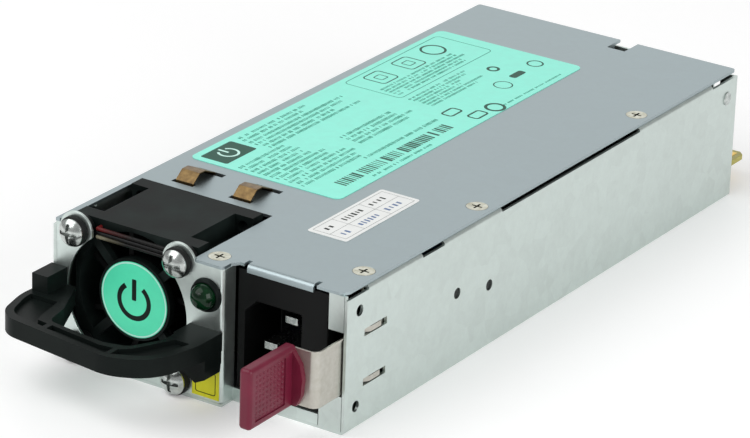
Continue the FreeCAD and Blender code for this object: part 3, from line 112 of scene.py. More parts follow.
def add(tree, kind, inputs=None, stops=(), **settings):
    """Add one node with its own settings, its inputs and, on a ramp, its stops of (position, colour)."""
    made = tree.nodes.new(kind)
    for name, value in settings.items():
        setattr(made, name, value)
    feed(tree, made, inputs or {})
    if stops:
        ramp = made.color_ramp.elements
        while len(ramp) < len(stops):
            ramp.new(0.5)
        for element, (position, colour) in zip(ramp, stops):
            element.position = position
            element.color = colour
    return made


def start_material(name):
    """A new material with its tree, its Principled shader and the piece's own coordinates."""
    material = bpy.data.materials.new(name)
    material.use_nodes = True
    tree = material.node_tree
    shader = next(node for node in tree.nodes if node.type == "BSDF_PRINCIPLED")
    place = add(tree, "ShaderNodeTexCoord").outputs["Object"]
    return material, tree, shader, place


WHITE = linear("FFFFFF")


# ---------------------------------------------------------------- materials

def galvanised_sheet(name, base, roughness, spangle, contrast):
    """Hot-dip galvanised sheet: zinc crystals of spangle millimetres, a cloudy film, rolling marks."""
    material, tree, shader, place = start_material(name)
    crystals = add(tree, "ShaderNodeTexVoronoi", {"Vector": place, "Scale": scale_for(spangle)})
    tone = add(tree, "ShaderNodeSeparateColor", {"Color": crystals.outputs["Color"]})
    cloud = add(tree, "ShaderNodeTexNoise", {
        "Vector": place, "Scale": scale_for(2.2), "Detail": 4.0, "Roughness": 0.65})
    film = add(tree, "ShaderNodeMix", {"Factor": 0.75, "A": tone, "B": cloud})
    # The sheet is rolled from front to rear, so the marks are drawn out along Y.
    drawn_out = add(tree, "ShaderNodeMapping", {"Vector": place, "Scale": (1.0, 0.05, 1.0)})
    marks = add(tree, "ShaderNodeTexNoise", {"Vector": drawn_out, "Scale": scale_for(0.35), "Detail": 3.0})
    feed(tree, shader, {
        "Metallic": 1.0,
        "Base Color": add(tree, "ShaderNodeValToRGB", {"Fac": film}, (
            (0.3, scaled(linear(base), 1 - contrast)), (0.7, scaled(linear(base), 1 + contrast)))),
        "Roughness": add(tree, "ShaderNodeMapRange", {
            "Value": film, "To Min": roughness - 0.05, "To Max": roughness + 0.05}),
        "Normal": add(tree, "ShaderNodeBump", {"Height": marks, "Distance": 0.01 * MM, "Strength": 0.35}),
    })
    return material


def moulded(name, base, second_tone, roughness, grain, relief, sheen=0.5):
    """Moulded or fired body: a texture of grain millimetres, a colour that drifts from base to a second
    tone.
    """
    material, tree, shader, place = start_material(name)
    texture = add(tree, "ShaderNodeTexNoise", {"Vector": place, "Scale": scale_for(grain), "Detail": 3.0})
    drift = add(tree, "ShaderNodeTexNoise", {"Vector": place, "Scale": scale_for(9.0), "Detail": 3.0})
    feed(tree, shader, {
        "IOR": 1.54,
        "Specular IOR Level": sheen,
        "Base Color": add(tree, "ShaderNodeValToRGB", {"Fac": drift}, (
            (0.35, linear(base)), (0.8, linear(second_tone)))),
        "Roughness": add(tree, "ShaderNodeMapRange", {
            "Value": drift, "To Min": roughness - 0.06, "To Max": roughness + 0.08}),
        "Normal": add(tree, "ShaderNodeBump", {"Height": texture, "Distance": relief * MM, "Strength": 0.6}),
    })
    return material


def plated(name, base, stain, roughness, hollow_shade=0.0):
    """Plated or bare metal: a cloudy film from stain to base, fine tool marks, painted shade in its hollows.
    """
    material, tree, shader, place = start_material(name)
    film = add(tree, "ShaderNodeTexNoise", {
        "Vector": place, "Scale": scale_for(1.6), "Detail": 4.0, "Roughness": 0.6})
    marks = add(tree, "ShaderNodeTexNoise", {"Vector": place, "Scale": scale_for(0.25), "Detail": 2.0})
    colour = add(tree, "ShaderNodeValToRGB", {"Fac": film}, ((0.3, linear(stain)), (0.65, linear(base))))
    # Painted shade: where ambient occlusion finds a hollow, the colour is darkened towards near black
    if hollow_shade:
        hollow = add(tree, "ShaderNodeAmbientOcclusion", {"Distance": 1.2 * MM}, samples=8)
        hollow_darkening = add(tree, "ShaderNodeMapRange", {
            "Value": hollow.outputs["AO"], "From Min": 0.25, "From Max": 0.85,
            "To Min": hollow_shade, "To Max": 0.0})
        colour = add(tree, "ShaderNodeMix", {
            "Factor": hollow_darkening, "A": colour, "B": linear("151615")}, data_type="RGBA")
    feed(tree, shader, {
        "Metallic": 1.0,
        "Base Color": colour,
        "Roughness": add(tree, "ShaderNodeMapRange", {
            "Value": film, "To Min": roughness + 0.1, "To Max": roughness - 0.05}),
        "Normal": add(tree, "ShaderNodeBump", {"Height": marks, "Distance": 0.006 * MM, "Strength": 0.4}),
    })
    return material


def film_label(name, base, roughness=0.4, sheen=0.5):
    """Film, paper or ink: one flat colour with a faint mottle under a satin coat."""
    material, tree, shader, place = start_material(name)
    mottle = add(tree, "ShaderNodeTexNoise", {
        "Vector": place, "Scale": scale_for(3.0), "Detail": 4.0, "Roughness": 0.6})
    ripple = add(tree, "ShaderNodeTexNoise", {"Vector": place, "Scale": scale_for(0.6), "Detail": 2.0})
    feed(tree, shader, {
        "IOR": 1.5,
        "Specular IOR Level": sheen,
        "Base Color": add(tree, "ShaderNodeValToRGB", {"Fac": mottle}, (
            (0.3, scaled(linear(base), 0.94)), (0.7, linear(base)))),
        "Roughness": add(tree, "ShaderNodeMapRange", {
            "Value": mottle, "To Min": roughness - 0.06, "To Max": roughness + 0.06}),
        "Normal": add(tree, "ShaderNodeBump", {"Height": ripple, "Distance": 0.004 * MM, "Strength": 0.3}),
    })
    return material


def tinted_dome(name, base, lit):
    """Cast epoxy lens: dark in its depth, a little lighter where the tint is thin."""
    material, tree, shader, place = start_material(name)
    depth = add(tree, "ShaderNodeTexNoise", {"Vector": place, "Scale": scale_for(2.5), "Detail": 2.0})
    feed(tree, shader, {
        "IOR": 1.53,
        "Specular IOR Level": 0.2,
        "Base Color": add(tree, "ShaderNodeValToRGB", {"Fac": depth}, (
            (0.3, linear(base)), (0.8, linear(lit)))),
        "Roughness": add(tree, "ShaderNodeMapRange", {"Value": depth, "To Min": 0.07, "To Max": 0.12}),
    })
    return material


def lead_with_painted_shade(name, base, second_tone, shade_starts, shade_full):
    """Extruded lead with painted shade: its colour is whole at the first distance and painted near black by
    the second, in millimetres from the fan's axis.
    """
    material, tree, shader, place = start_material(name)
    across = add(tree, "ShaderNodeSeparateXYZ", {"Vector": place})
    # Painted shade: the colour darkens along X towards the fan's axis, where the leads lie in the dark
    painted_shade = add(tree, "ShaderNodeMapRange", {
        "Value": across.outputs["X"],
        "From Min": FAN_AXIS.x + shade_starts * MM, "From Max": FAN_AXIS.x + shade_full * MM})
    dust = add(tree, "ShaderNodeTexNoise", {"Vector": place, "Scale": scale_for(1.5), "Detail": 3.0})
    crust = add(tree, "ShaderNodeMath", {0: painted_shade, 1: dust}, operation="MULTIPLY")
    feed(tree, shader, {
        "IOR": 1.53,
        "Roughness": 0.4,
        "Specular IOR Level": 0.2,
        # Painted shade: the whole colour, then a darker tone, then near black
        "Base Color": add(tree, "ShaderNodeValToRGB", {"Fac": painted_shade}, (
            (0.0, linear(base)), (0.4, linear(second_tone)), (1.0, linear("0B0B0A")))),
        "Normal": add(tree, "ShaderNodeBump", {"Height": crust, "Distance": 0.01 * MM, "Strength": 0.3}),
    })
    return material


def board_laminate(name):
    """Pressed glass epoxy: solder mask inside the case, bare laminate on the card edge behind it."""
    material, tree, shader, place = start_material(name)
    weave = add(tree, "ShaderNodeTexNoise", {"Vector": place, "Scale": scale_for(0.8), "Detail": 3.0})
    mask = add(tree, "ShaderNodeValToRGB", {"Fac": weave}, (
        (0.3, linear("1B5F34")), (0.8, linear("2B7A46"))))
    bare = add(tree, "ShaderNodeValToRGB", {"Fac": weave}, (
        (0.3, linear("A39B3F")), (0.8, linear("BDB55C"))))
    depth = add(tree, "ShaderNodeSeparateXYZ", {"Vector": place})
    outside = add(tree, "ShaderNodeMath", {0: depth.outputs["Y"], 1: CASE_REAR}, operation="GREATER_THAN")
    feed(tree, shader, {
        "IOR": 1.55,
        "Base Color": add(tree, "ShaderNodeMix", {
            "Factor": outside, "A": mask, "B": bare}, data_type="RGBA"),
        "Roughness": add(tree, "ShaderNodeMapRange", {"Value": weave, "To Min": 0.34, "To Max": 0.46}),
        "Normal": add(tree, "ShaderNodeBump", {"Height": weave, "Distance": 0.02 * MM, "Strength": 0.4}),
    })
    return material


# Each line above a material says what it is, how it was made and what that gives the eye.
MATERIALS = {
    # Hot-dip galvanised steel, rolled: a cool satin grey with hardly a crystal to see. The cover, walls and
    # front are one steel in three greys, painted light and shade for how each face is lit; the cover's is
    # darkest
    "galvanised_cover": galvanised_sheet("galvanised_steel_cover", "A6B3B6", 0.44, 6.0, 0.035),
    # The same steel, its grey painted paler for how the walls are lit: pale walls with faint clouds of zinc
    "galvanised_wall": galvanised_sheet("galvanised_steel_wall", "CBD5D1", 0.42, 5.0, 0.05),
    # The same steel, its grey painted palest for how the front is lit, and the smoothest sheet, so it
    # mirrors the screws that stand on it
    "galvanised_front": galvanised_sheet("galvanised_steel_front", "CFDAD6", 0.36, 6.0, 0.06),
    # Zinc plated and passivated steel: a straw tint, painted shade darkening the cross of the head
    "zinc_screw": plated("zinc_plated_screw", "D2D3C6", "ABA994", 0.26, 0.9),
    # Nickel plated steel, turned: a clean soft mirror
    "bright_steel": plated("nickel_plated_steel", "CDD2CF", "98A09D", 0.24),
    # The same, cold headed: a brighter mirror with painted shade darkening the cross of the head
    "bright_screw": plated("nickel_plated_screw", "CDD2CF", "A9AFAC", 0.2, 0.9),
    # Hard rolled spring steel: a warm grey that blurs what it mirrors
    "spring_steel": plated("rolled_spring_steel", "BFBDB5", "B5B2A8", 0.36),
    # Steel painted dark: painted shade, so the rivet ends read as dark as the holes they sit in, with a dull
    # gleam
    "dark_rivet": plated("rivet_steel_painted_shade", "3A3D3C", "202322", 0.4),
    # Glass-filled nylon, moulded: near black with a soft bloom
    "dark_plastic": moulded("glass_filled_nylon_black", "0E1312", "222B29", 0.46, 0.5, 0.015, 0.06),
    # ABS, moulded in a fine spark-eroded tool: black, with broad dull highlights on the handle
    "black_plastic": moulded("moulded_abs_black", "101514", "161C1A", 0.4, 0.4, 0.015, 0.07),
    # Moulded black plastic, darkest of all: painted shade for what lies in the shade of the duct or the
    # inlet
    "shaded_plastic": moulded("moulded_black_painted_shade", "060707", "0A0C0C", 0.5, 0.4, 0.015, 0.15),
    # Nitrile rubber, moulded: black and matt
    "black_rubber": moulded("nitrile_rubber_black", "080A0A", "0F1111", 0.55, 0.6, 0.03, 0.25),
    # ABS, moulded: a deep maroon with a satin face
    "maroon_plastic": moulded("moulded_abs_maroon", "64152C", "741D36", 0.34, 0.45, 0.02, 0.3),
    # PVC, extruded over wire: a waxy sheen; red and cream darken to near black towards the fan's axis,
    # painted shade where the leads run into the dark
    "red_insulation": lead_with_painted_shade("pvc_insulation_red", "64191A", "38100F", -11, 0),
    "black_insulation": moulded("pvc_insulation_black", "080909", "0E0F10", 0.4, 0.8, 0.01, 0.2),
    "yellow_insulation": lead_with_painted_shade("pvc_insulation_cream", "8F8A74", "504C3C", -11, -2),
    # Polyester film, printed aqua and coated: an even pastel with a satin face
    "aqua_label": film_label("polyester_label_aqua", "8FF8E2"),
    # Coated paper: an even white, duller than film
    "white_label": film_label("paper_label_white", "F1F3F1", 0.55),
    # Vinyl film, dyed through: a clear yellow with a satin face
    "yellow_label": film_label("vinyl_label_yellow", "F4F11A"),
    # Polyester film, printed on the underside: a strong green under a satin face
    "green_disc": film_label("polyester_disc_green", "58EFBF"),
    # Screen printing inks: thin and flat, the dark ones duller than the film they lie on
    "dark_ink": film_label("screen_ink_dark_green", "1E5444", 0.45, 0.2),
    "teal_ink": film_label("screen_ink_teal", "1F9078", 0.45, 0.2),
    "black_ink": film_label("screen_ink_black", "0E1A16", 0.45, 0.15),
    "pale_ink": film_label("screen_ink_pale", "C9F7EB"),
    "grey_ink": film_label("screen_ink_grey", "6F7672"),
    "blue_ink": film_label("screen_ink_blue", "4C6C9C"),
    # Copper alloy, rolled and tarnished: a brown gleam
    "copper_spring": plated("rolled_copper_alloy", "87704B", "65523A", 0.34),
    # Gold plate on the contacts: a warm soft mirror
    "gold_contact": plated("gold_plated_contact", "EACB74", "DDB95E", 0.3),
    # Enamelled copper wire, wound: an orange brown gleam
    "winding_copper": plated("enamelled_copper_wire", "A8632F", "7D431D", 0.35),
    # Glass epoxy laminate, pressed: green mask inside, yellowish and bare where it leaves the case
    "circuit_board": board_laminate("glass_epoxy_board"),
    # Polyester sheet, die cut: a milky straw colour
    "insulator_film": film_label("polyester_insulator", "D9D4B8"),
    # Heat-shrunk PVC sleeve: slate blue and glossy
    "capacitor_sleeve": moulded("shrink_sleeve_dark", "202D38", "2B3946", 0.3, 1.2, 0.01),
    # Epoxy case, potted: plain blue and satin
    "film_capacitor_case": moulded("epoxy_case_blue", "3D6FA8", "4A7CB4", 0.4, 0.8, 0.02),
    # Ceramic, fired and glazed: cream white and glossy
    "fuse_ceramic": moulded("fired_ceramic_white", "E8E2D2", "EFEADC", 0.3, 0.8, 0.01),
    # Aluminium, extruded: a pale grey that blurs what it mirrors
    "heatsink_aluminium": plated("extruded_aluminium", "B5B8BA", "A2A5A7", 0.35),
    # Polyester tape, wound: mustard yellow and satin
    "yellow_tape": film_label("polyester_tape_yellow", "D6B93C"),
    # Ferrite, sintered: dark grey and dull
    "ferrite": moulded("sintered_ferrite_grey", "34363A", "3F4144", 0.55, 0.7, 0.02),
    # Epoxy, cast and tinted: nearly black green until the light catches its polished dome
    "green_lens": tinted_dome("tinted_epoxy_green", "03140A", "0A3319"),
}

# Nodes whose finish departs from the others in their slot. The rotor and the inlet housing take black
# plastic with painted shade, the rivets steel with painted shade.
OWN_LOOK = {"latch_rivets": "dark_rivet", "fan_rotor": "shaded_plastic", "inlet_housing": "shaded_plastic",
            "fan_screws": "bright_screw"}


def clothe(thing, look):
    """Give every face of an object one material."""
    thing.data.materials.clear()
    thing.data.materials.append(MATERIALS[look])


def settle(name, mesh, body, look):
    """Link a finished mesh as a piece with one material that rides on a body."""
    piece = bpy.data.objects.new(name, mesh)
    bpy.context.scene.collection.objects.link(piece)
    clothe(piece, look)
    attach(piece, body)
    return piece


def baked(name, thing):
    """The evaluated object as a plain mesh; the draft itself is thrown away."""
    graph = bpy.context.evaluated_depsgraph_get()
    mesh = bpy.data.meshes.new_from_object(thing.evaluated_get(graph))
    mesh.name = name
    bpy.data.objects.remove(thing)
    return mesh


# ---------------------------------------------------------------- finer copies of the solids

# Points closer than the first are one point, and faces that turn by less than the second are one flat.
# Edges that turn by more than the third are real ones: they stay crisp and are bevelled in so many steps.
MERGED_WITHIN = 0.002 * MM
FLAT_WITHIN = math.radians(0.4)
SHARP_FROM = math.radians(32.0)
BEVEL_STEPS = 2

# How far the edges of each piece are softened, in millimetres: little on sheet, most on the handle.
SOFTENED = {
    "chassis": 0.12, "top_cover": 0.12, "front_plate": 0.12, "rear_panel": 0.1,
    "cover_screws": 0.08, "fan_screws": 0.1, "fan_grommets": 0.35, "fan_frame": 0.3,
    "handle": 0.7, "status_ring": 0.25, "status_lens": 0.05, "inlet_housing": 0.4, "inlet_pins": 0.3,
    "latch_strip": 0.08, "latch_grip": 0.3, "latch_rivets": 0.15, "spring_fingers": 0.06,
    "fan_rotor": 0.2, "side_rivet": 0.12, "main_board": 0.15,
}


def merged_copy(node):
    """A solid's mesh with its loose triangles merged.

    Flat faces are made whole so that only real edges are bevelled. Those with more than three corners are
    cut into triangles again, because a face that runs round an opening would touch itself.
    """
    mesh = frame["nodes"][node].data.copy()
    form = bmesh.new()
    form.from_mesh(mesh)
    bmesh.ops.remove_doubles(form, verts=form.verts, dist=MERGED_WITHIN)
    bmesh.ops.dissolve_limit(form, angle_limit=FLAT_WITHIN, verts=form.verts, edges=form.edges)
    bmesh.ops.triangulate(form, faces=[face for face in form.faces if len(face.verts) > 3])
    form.to_mesh(mesh)
    form.free()
    if "custom_normal" in mesh.attributes:
        mesh.attributes.remove(mesh.attributes["custom_normal"])
    return mesh


def finer(node, edge):
    """Stand a copy of a solid in its place, edges softened by edge millimetres, round faces smooth."""
    mesh = merged_copy(node)
    mesh.polygons.foreach_set("use_smooth", [True] * len(mesh.polygons))
    mesh.set_sharp_from_angle(angle=SHARP_FROM)
    draft = bpy.data.objects.new(node + "_draft", mesh)
    bpy.context.scene.collection.objects.link(draft)
    soften = draft.modifiers.new("soften", "BEVEL")
    soften.width = edge * MM
    soften.segments = BEVEL_STEPS
    soften.limit_method = "ANGLE"
    soften.angle_limit = SHARP_FROM
    soften.harden_normals = True
    soften.use_clamp_overlap = True
    soften.miter_outer = "MITER_ARC"
    name = node + "_finish"
    piece = settle(name, baked(name, draft), BODY_OF[node], OWN_LOOK.get(node, SLOT_OF[node]))
    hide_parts(node)
    return piece


def dress_solids():
    """Soften the visible solids and clothe every one that is shown as it is."""
    for node, thing in frame["nodes"].items():
        if node not in SOFTENED:
            clothe(thing, OWN_LOOK.get(node, SLOT_OF[node]))
    return {node: finer(node, edge) for node, edge in SOFTENED.items()}


# ---------------------------------------------------------------- grown meshes

def geometry_tree(name, inputs):
    """An empty Geometry Nodes tree with named inputs; also the sockets it is given and its end node."""
    tree = bpy.data.node_groups.new(name, "GeometryNodeTree")
    tree.interface.new_socket("Geometry", in_out="OUTPUT", socket_type="NodeSocketGeometry")
    for label, kind in inputs.items():
        tree.interface.new_socket(label, in_out="INPUT", socket_type="NodeSocket" + kind)
    return tree, add(tree, "NodeGroupInput").outputs, add(tree, "NodeGroupOutput")


def close_tree(tree, geometry, material, end):
    """End a tree: real geometry with its material."""
    real = add(tree, "GeometryNodeRealizeInstances", {"Geometry": geometry})
    clothed = add(tree, "GeometryNodeSetMaterial", {"Geometry": real, "Material": material})
    feed(tree, end, {"Geometry": clothed})


def grown(name, tree, values):
    """What a Geometry Nodes tree makes of the given input values, as a plain mesh."""
    draft = bpy.data.objects.new(name + "_draft", bpy.data.meshes.new(name + "_draft"))
    bpy.context.scene.collection.objects.link(draft)
    grow = draft.modifiers.new("grow", "NODES")
    grow.node_group = tree
    for item in tree.interface.items_tree:
        if item.in_out == "INPUT":
            grow[item.identifier] = values[item.name]
    return baked(name, draft)


def glyph_rows_tree():
    """Rows of small upright blocks of uneven size, like unreadable small print or a bar code.

    The rows are stacked along X and run along Y. Each glyph is tall by a random share from Lowest to 1 and
    wide by one from Thinnest to Thickest. Each row ends after a random share from Shortest Row to 1.
    """
    tree, given, end = geometry_tree("glyph_rows", {
        "Rows": "Int", "Row Length": "Float", "Row Pitch": "Float", "Glyph Pitch": "Float",
        "Glyph Height": "Float", "Lowest": "Float", "Thinnest": "Float", "Thickest": "Float",
        "Filled": "Float", "Shortest Row": "Float", "Seed": "Int", "Ink": "Material"})

    # A grid of places, one for each glyph
    fitting = add(tree, "ShaderNodeMath", {
        0: given["Row Length"], 1: given["Glyph Pitch"]}, operation="DIVIDE")
    count = add(tree, "ShaderNodeMath", {0: fitting}, operation="FLOOR")
    gaps = add(tree, "ShaderNodeMath", {0: given["Rows"], 1: 1.0}, operation="SUBTRACT")
    stack = add(tree, "ShaderNodeMath", {0: given["Row Pitch"], 1: gaps}, operation="MULTIPLY")
    places = add(tree, "GeometryNodeMeshGrid", {
        "Size X": stack, "Size Y": given["Row Length"], "Vertices X": given["Rows"], "Vertices Y": count})

    # Which places are kept: most of them at random, up to their row's end
    spot = add(tree, "ShaderNodeSeparateXYZ", {"Vector": add(tree, "GeometryNodeInputPosition")})
    rows_off = add(tree, "ShaderNodeMath", {0: spot.outputs["X"], 1: given["Row Pitch"]}, operation="DIVIDE")
    row = add(tree, "ShaderNodeMath", {0: rows_off}, operation="ROUND")
    share = add(tree, "ShaderNodeMath", {0: spot.outputs["Y"], 1: given["Row Length"]}, operation="DIVIDE")
    along = add(tree, "ShaderNodeMath", {0: share, 1: 0.5}, operation="ADD")
    row_end = add(tree, "FunctionNodeRandomValue", {
        "Min": given["Shortest Row"], "Max": 1.0, "ID": row, "Seed": given["Seed"]}, data_type="FLOAT")
    within = add(tree, "ShaderNodeMath", {0: along, 1: row_end}, operation="LESS_THAN")
    chance = add(tree, "FunctionNodeRandomValue", {
        "Min": 0.0, "Max": 1.0, "Seed": given["Seed"]}, data_type="FLOAT")
    there = add(tree, "ShaderNodeMath", {0: chance, 1: given["Filled"]}, operation="LESS_THAN")
    kept = add(tree, "ShaderNodeMath", {0: there, 1: within}, operation="MULTIPLY")

    # One block, scaled anew at each place
    block = add(tree, "GeometryNodeMeshGrid", {
        "Size X": given["Glyph Height"], "Size Y": given["Glyph Pitch"], "Vertices X": 2, "Vertices Y": 2})
    second_seed = add(tree, "ShaderNodeMath", {0: given["Seed"], 1: 1.0}, operation="ADD")
    third_seed = add(tree, "ShaderNodeMath", {0: given["Seed"], 1: 2.0}, operation="ADD")
    tall = add(tree, "FunctionNodeRandomValue", {
        "Min": given["Lowest"], "Max": 1.0, "Seed": second_seed}, data_type="FLOAT")
    wide = add(tree, "FunctionNodeRandomValue", {
        "Min": given["Thinnest"], "Max": given["Thickest"], "Seed": third_seed}, data_type="FLOAT")
    glyphs = add(tree, "GeometryNodeInstanceOnPoints", {
        "Points": places, "Selection": kept, "Instance": block,
        "Scale": add(tree, "ShaderNodeCombineXYZ", {"X": tall, "Y": wide, "Z": 1.0})})
    close_tree(tree, glyphs, given["Ink"], end)
    return tree


def dimpled_tree():
    """A flat field pressed with a square grid of round dimples; Fineness is the points across a dimple."""
    tree, given, end = geometry_tree("dimpled_field", {
        "Columns": "Int", "Rows": "Int", "Width": "Float", "Height": "Float",
        "Dimple Radius": "Float", "Depth": "Float", "Fineness": "Int", "Plastic": "Material"})
    points = [add(tree, "ShaderNodeMath", {0: given[number], 1: given["Fineness"]}, operation="MULTIPLY")
              for number in ("Columns", "Rows")]
    sheet = add(tree, "GeometryNodeMeshGrid", {
        "Size X": given["Width"], "Size Y": given["Height"],
        "Vertices X": points[0], "Vertices Y": points[1]})

    # How far each point lies from the middle of its own cell
    spot = add(tree, "ShaderNodeSeparateXYZ", {"Vector": add(tree, "GeometryNodeInputPosition")})
    squares = []
    for axis, size, number in (("X", "Width", "Columns"), ("Y", "Height", "Rows")):
        cell = add(tree, "ShaderNodeMath", {0: given[size], 1: given[number]}, operation="DIVIDE")
        share = add(tree, "ShaderNodeMath", {0: spot.outputs[axis], 1: given[size]}, operation="DIVIDE")
        from_edge = add(tree, "ShaderNodeMath", {0: share, 1: 0.5}, operation="ADD")
        cells = add(tree, "ShaderNodeMath", {0: from_edge, 1: given[number]}, operation="MULTIPLY")
        inside = add(tree, "ShaderNodeMath", {0: cells}, operation="FRACT")
        off_middle = add(tree, "ShaderNodeMath", {0: inside, 1: 0.5}, operation="SUBTRACT")
        offset = add(tree, "ShaderNodeMath", {0: off_middle, 1: cell}, operation="MULTIPLY")
        squares.append(add(tree, "ShaderNodeMath", {0: offset, 1: offset}, operation="MULTIPLY"))
    total = add(tree, "ShaderNodeMath", {0: squares[0], 1: squares[1]}, operation="ADD")
    far = add(tree, "ShaderNodeMath", {0: total}, operation="SQRT")

    # Pressed deepest in the middle, not at all beyond the dimple's radius
    press = add(tree, "ShaderNodeMapRange", {
        "Value": far, "From Min": 0.0, "From Max": given["Dimple Radius"], "To Min": 1.0, "To Max": 0.0,
    }, interpolation_type="SMOOTHSTEP")
    deep = add(tree, "ShaderNodeMath", {0: press, 1: given["Depth"]}, operation="MULTIPLY")
    down = add(tree, "ShaderNodeMath", {0: deep, 1: -1.0}, operation="MULTIPLY")
    pressed = add(tree, "GeometryNodeSetPosition", {
        "Geometry": sheet, "Offset": add(tree, "ShaderNodeCombineXYZ", {"Z": down})})
    close_tree(tree, add(tree, "GeometryNodeSetShadeSmooth", {"Geometry": pressed}), given["Plastic"], end)
    return tree


# ---------------------------------------------------------------- printing

# How far each coat of ink stands on its label, in millimetres.
INK = 0.02


def plane_on_top(label, coats=1):
    """Print plane on a level label: x and y run from its front left corner, the ink looks up."""
    low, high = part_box(label)
    return Matrix.Translation((low.x, low.y, high.z + coats * INK * MM))


def plane_in_front(x, face, z):
    """Print plane on an upright face: x runs right and y up from a point, the ink looks to the front."""
    return Matrix(((1, 0, 0, x), (0, 0, -1, face - INK * MM), (0, 1, 0, z), (0, 0, 0, 1)))


def around(middle, half):
    """The reach of something with a middle and half a width."""
    return (middle - half, middle + half)


def arc(x, y, radius, start=0.0, end=360.0, steps=40):
    """Points on an arc, in millimetres and degrees."""
    whole = abs(end - start) >= 360
    turns = [math.radians(start + (end - start) * i / (steps if whole else steps - 1)) for i in range(steps)]
    return [(x + radius * math.cos(turn), y + radius * math.sin(turn)) for turn in turns]


def oblong(x, y, corner=0.0):
    """Corners of a rectangle that fills a reach of x and one of y, rounded by corner."""
    if not corner:
        return [(x[0], y[0]), (x[1], y[0]), (x[1], y[1]), (x[0], y[1])]
    centres = ((x[1] - corner, y[1] - corner, 0), (x[0] + corner, y[1] - corner, 90),
               (x[0] + corner, y[0] + corner, 180), (x[1] - corner, y[0] + corner, 270))
    return [point for cx, cy, turn in centres for point in arc(cx, cy, corner, turn, turn + 90, 6)]


def patch(form, points):
    """A flat filled shape."""
    form.faces.new([form.verts.new((x * MM, y * MM, 0)) for x, y in points])


def strip(form, points, width, closed=True):
    """A flat line of even width through some points, in millimetres, mitred at its bends."""
    count = len(points)
    pairs = []
    for i, point in enumerate(points):
        here = Vector(point)
        before = Vector(points[(i - 1) % count]) if closed or i else None
        after = Vector(points[(i + 1) % count]) if closed or i < count - 1 else None
        ways = [way.normalized() for way in (before and here - before, after and after - here) if way]
        way = sum(ways, Vector((0, 0))).normalized()
        across = Vector((-way.y, way.x))
        mitre = 1 / max(0.5, across.dot(Vector((-ways[0].y, ways[0].x))))
        sides = [here + across * side * width * mitre / 2 for side in (1, -1)]
        pairs.append([form.verts.new((spot.x * MM, spot.y * MM, 0)) for spot in sides])
    for i in range(count if closed else count - 1):
        (left, right), (next_left, next_right) = pairs[i], pairs[(i + 1) % count]
        form.faces.new((right, next_right, next_left, left))


GLYPH_ROWS = glyph_rows_tree()


def small_print(form, ink, x, y, rows, seed, shortest=0.45, pitch=0.72, height=None, lowest=0.7,
                thinnest=0.35, thickest=0.75, filled=0.84):
    """Fill a reach of x and one of y with rows of glyphs, a glyph to each pitch.

    Real small print is finer than this. It is drawn coarse enough to show.
    """
    row_pitch = (x[1] - x[0]) / rows
    mesh = grown("small_print", GLYPH_ROWS, {
        "Rows": rows, "Row Length": (y[1] - y[0]) * MM, "Row Pitch": row_pitch * MM,
        "Glyph Pitch": pitch * MM, "Glyph Height": (height or row_pitch * 0.62) * MM,
        "Lowest": lowest, "Thinnest": thinnest, "Thickest": thickest,
        "Filled": filled, "Shortest Row": shortest, "Seed": seed, "Ink": MATERIALS[ink]})
    mesh.transform(Matrix.Translation(((x[0] + x[1]) / 2 * MM, (y[0] + y[1]) / 2 * MM, 0)))
    form.from_mesh(mesh)
    bpy.data.meshes.remove(mesh)


def power_ring(form, x, y, radius, line, gap_at):
    """The open ring of a power sign; its gap looks towards gap_at, in degrees."""
    half_gap = 35
    strip(form, arc(x, y, radius, gap_at + half_gap, gap_at + 360 - half_gap), line, closed=False)


def printed(name, plane, ink, draw):
    """One ink's print on one label: draw fills a flat form that is then laid on its plane."""
    form = bmesh.new()
    draw(form)
    form.transform(plane)
    mesh = bpy.data.meshes.new(name)
    form.to_mesh(mesh)
    form.free()
    settle(name, mesh, "case", ink)


# The big label's print, in millimetres from its front left corner.
RATING_LINES = {
    "title": {"x": (1.9, 5.7), "y": (18.0, 51.0), "rows": 2, "seed": 3},
    "upper lines": {"x": (5.9, 13.7), "y": (18.0, 63.0), "rows": 4, "seed": 4, "shortest": 0.7},
    "lower lines": {"x": (13.9, 35.7), "y": (2.0, 32.0), "rows": 11, "seed": 11, "shortest": 0.6},
    "side lines": {"x": (22.7, 30.7), "y": (36.0, 65.0), "rows": 4, "seed": 23, "shortest": 0.75},
    "framed lines": {"x": (12.1, 19.3), "y": (71.6, 113.0), "rows": 5, "seed": 31, "shortest": 0.8,
                     "pitch": 0.6},
    "table lines": {"x": (22.1, 30.9), "y": (70.4, 101.0), "rows": 6, "seed": 43, "shortest": 0.6,
                    "pitch": 0.6},
    "code caption": {"x": (35.7, 37.7), "y": (28.0, 63.0), "rows": 1, "seed": 5, "shortest": 1.0},
    "code number": {"x": (44.5, 46.1), "y": (19.0, 47.0), "rows": 1, "seed": 8, "shortest": 1.0},
    "edge line": {"x": (44.7, 45.9), "y": (83.0, 113.0), "rows": 1, "seed": 9, "shortest": 1.0},
}
BAR_CODE = {"x": (39.7, 43.5), "y": (9.1, 61.2), "rows": 1, "seed": 17, "shortest": 1.0, "pitch": 1.1,
            "height": 3.8, "lowest": 1.0, "thinnest": 0.2, "thickest": 1.0, "filled": 0.86}
LINE_FRAME = {"x": (1.9, 20.5), "y": (69.6, 116.6), "corner": 1.5}
SIGN_BLOCK = {"x": (2.1, 10.7), "y": (2.0, 15.7), "corner": 0.6}

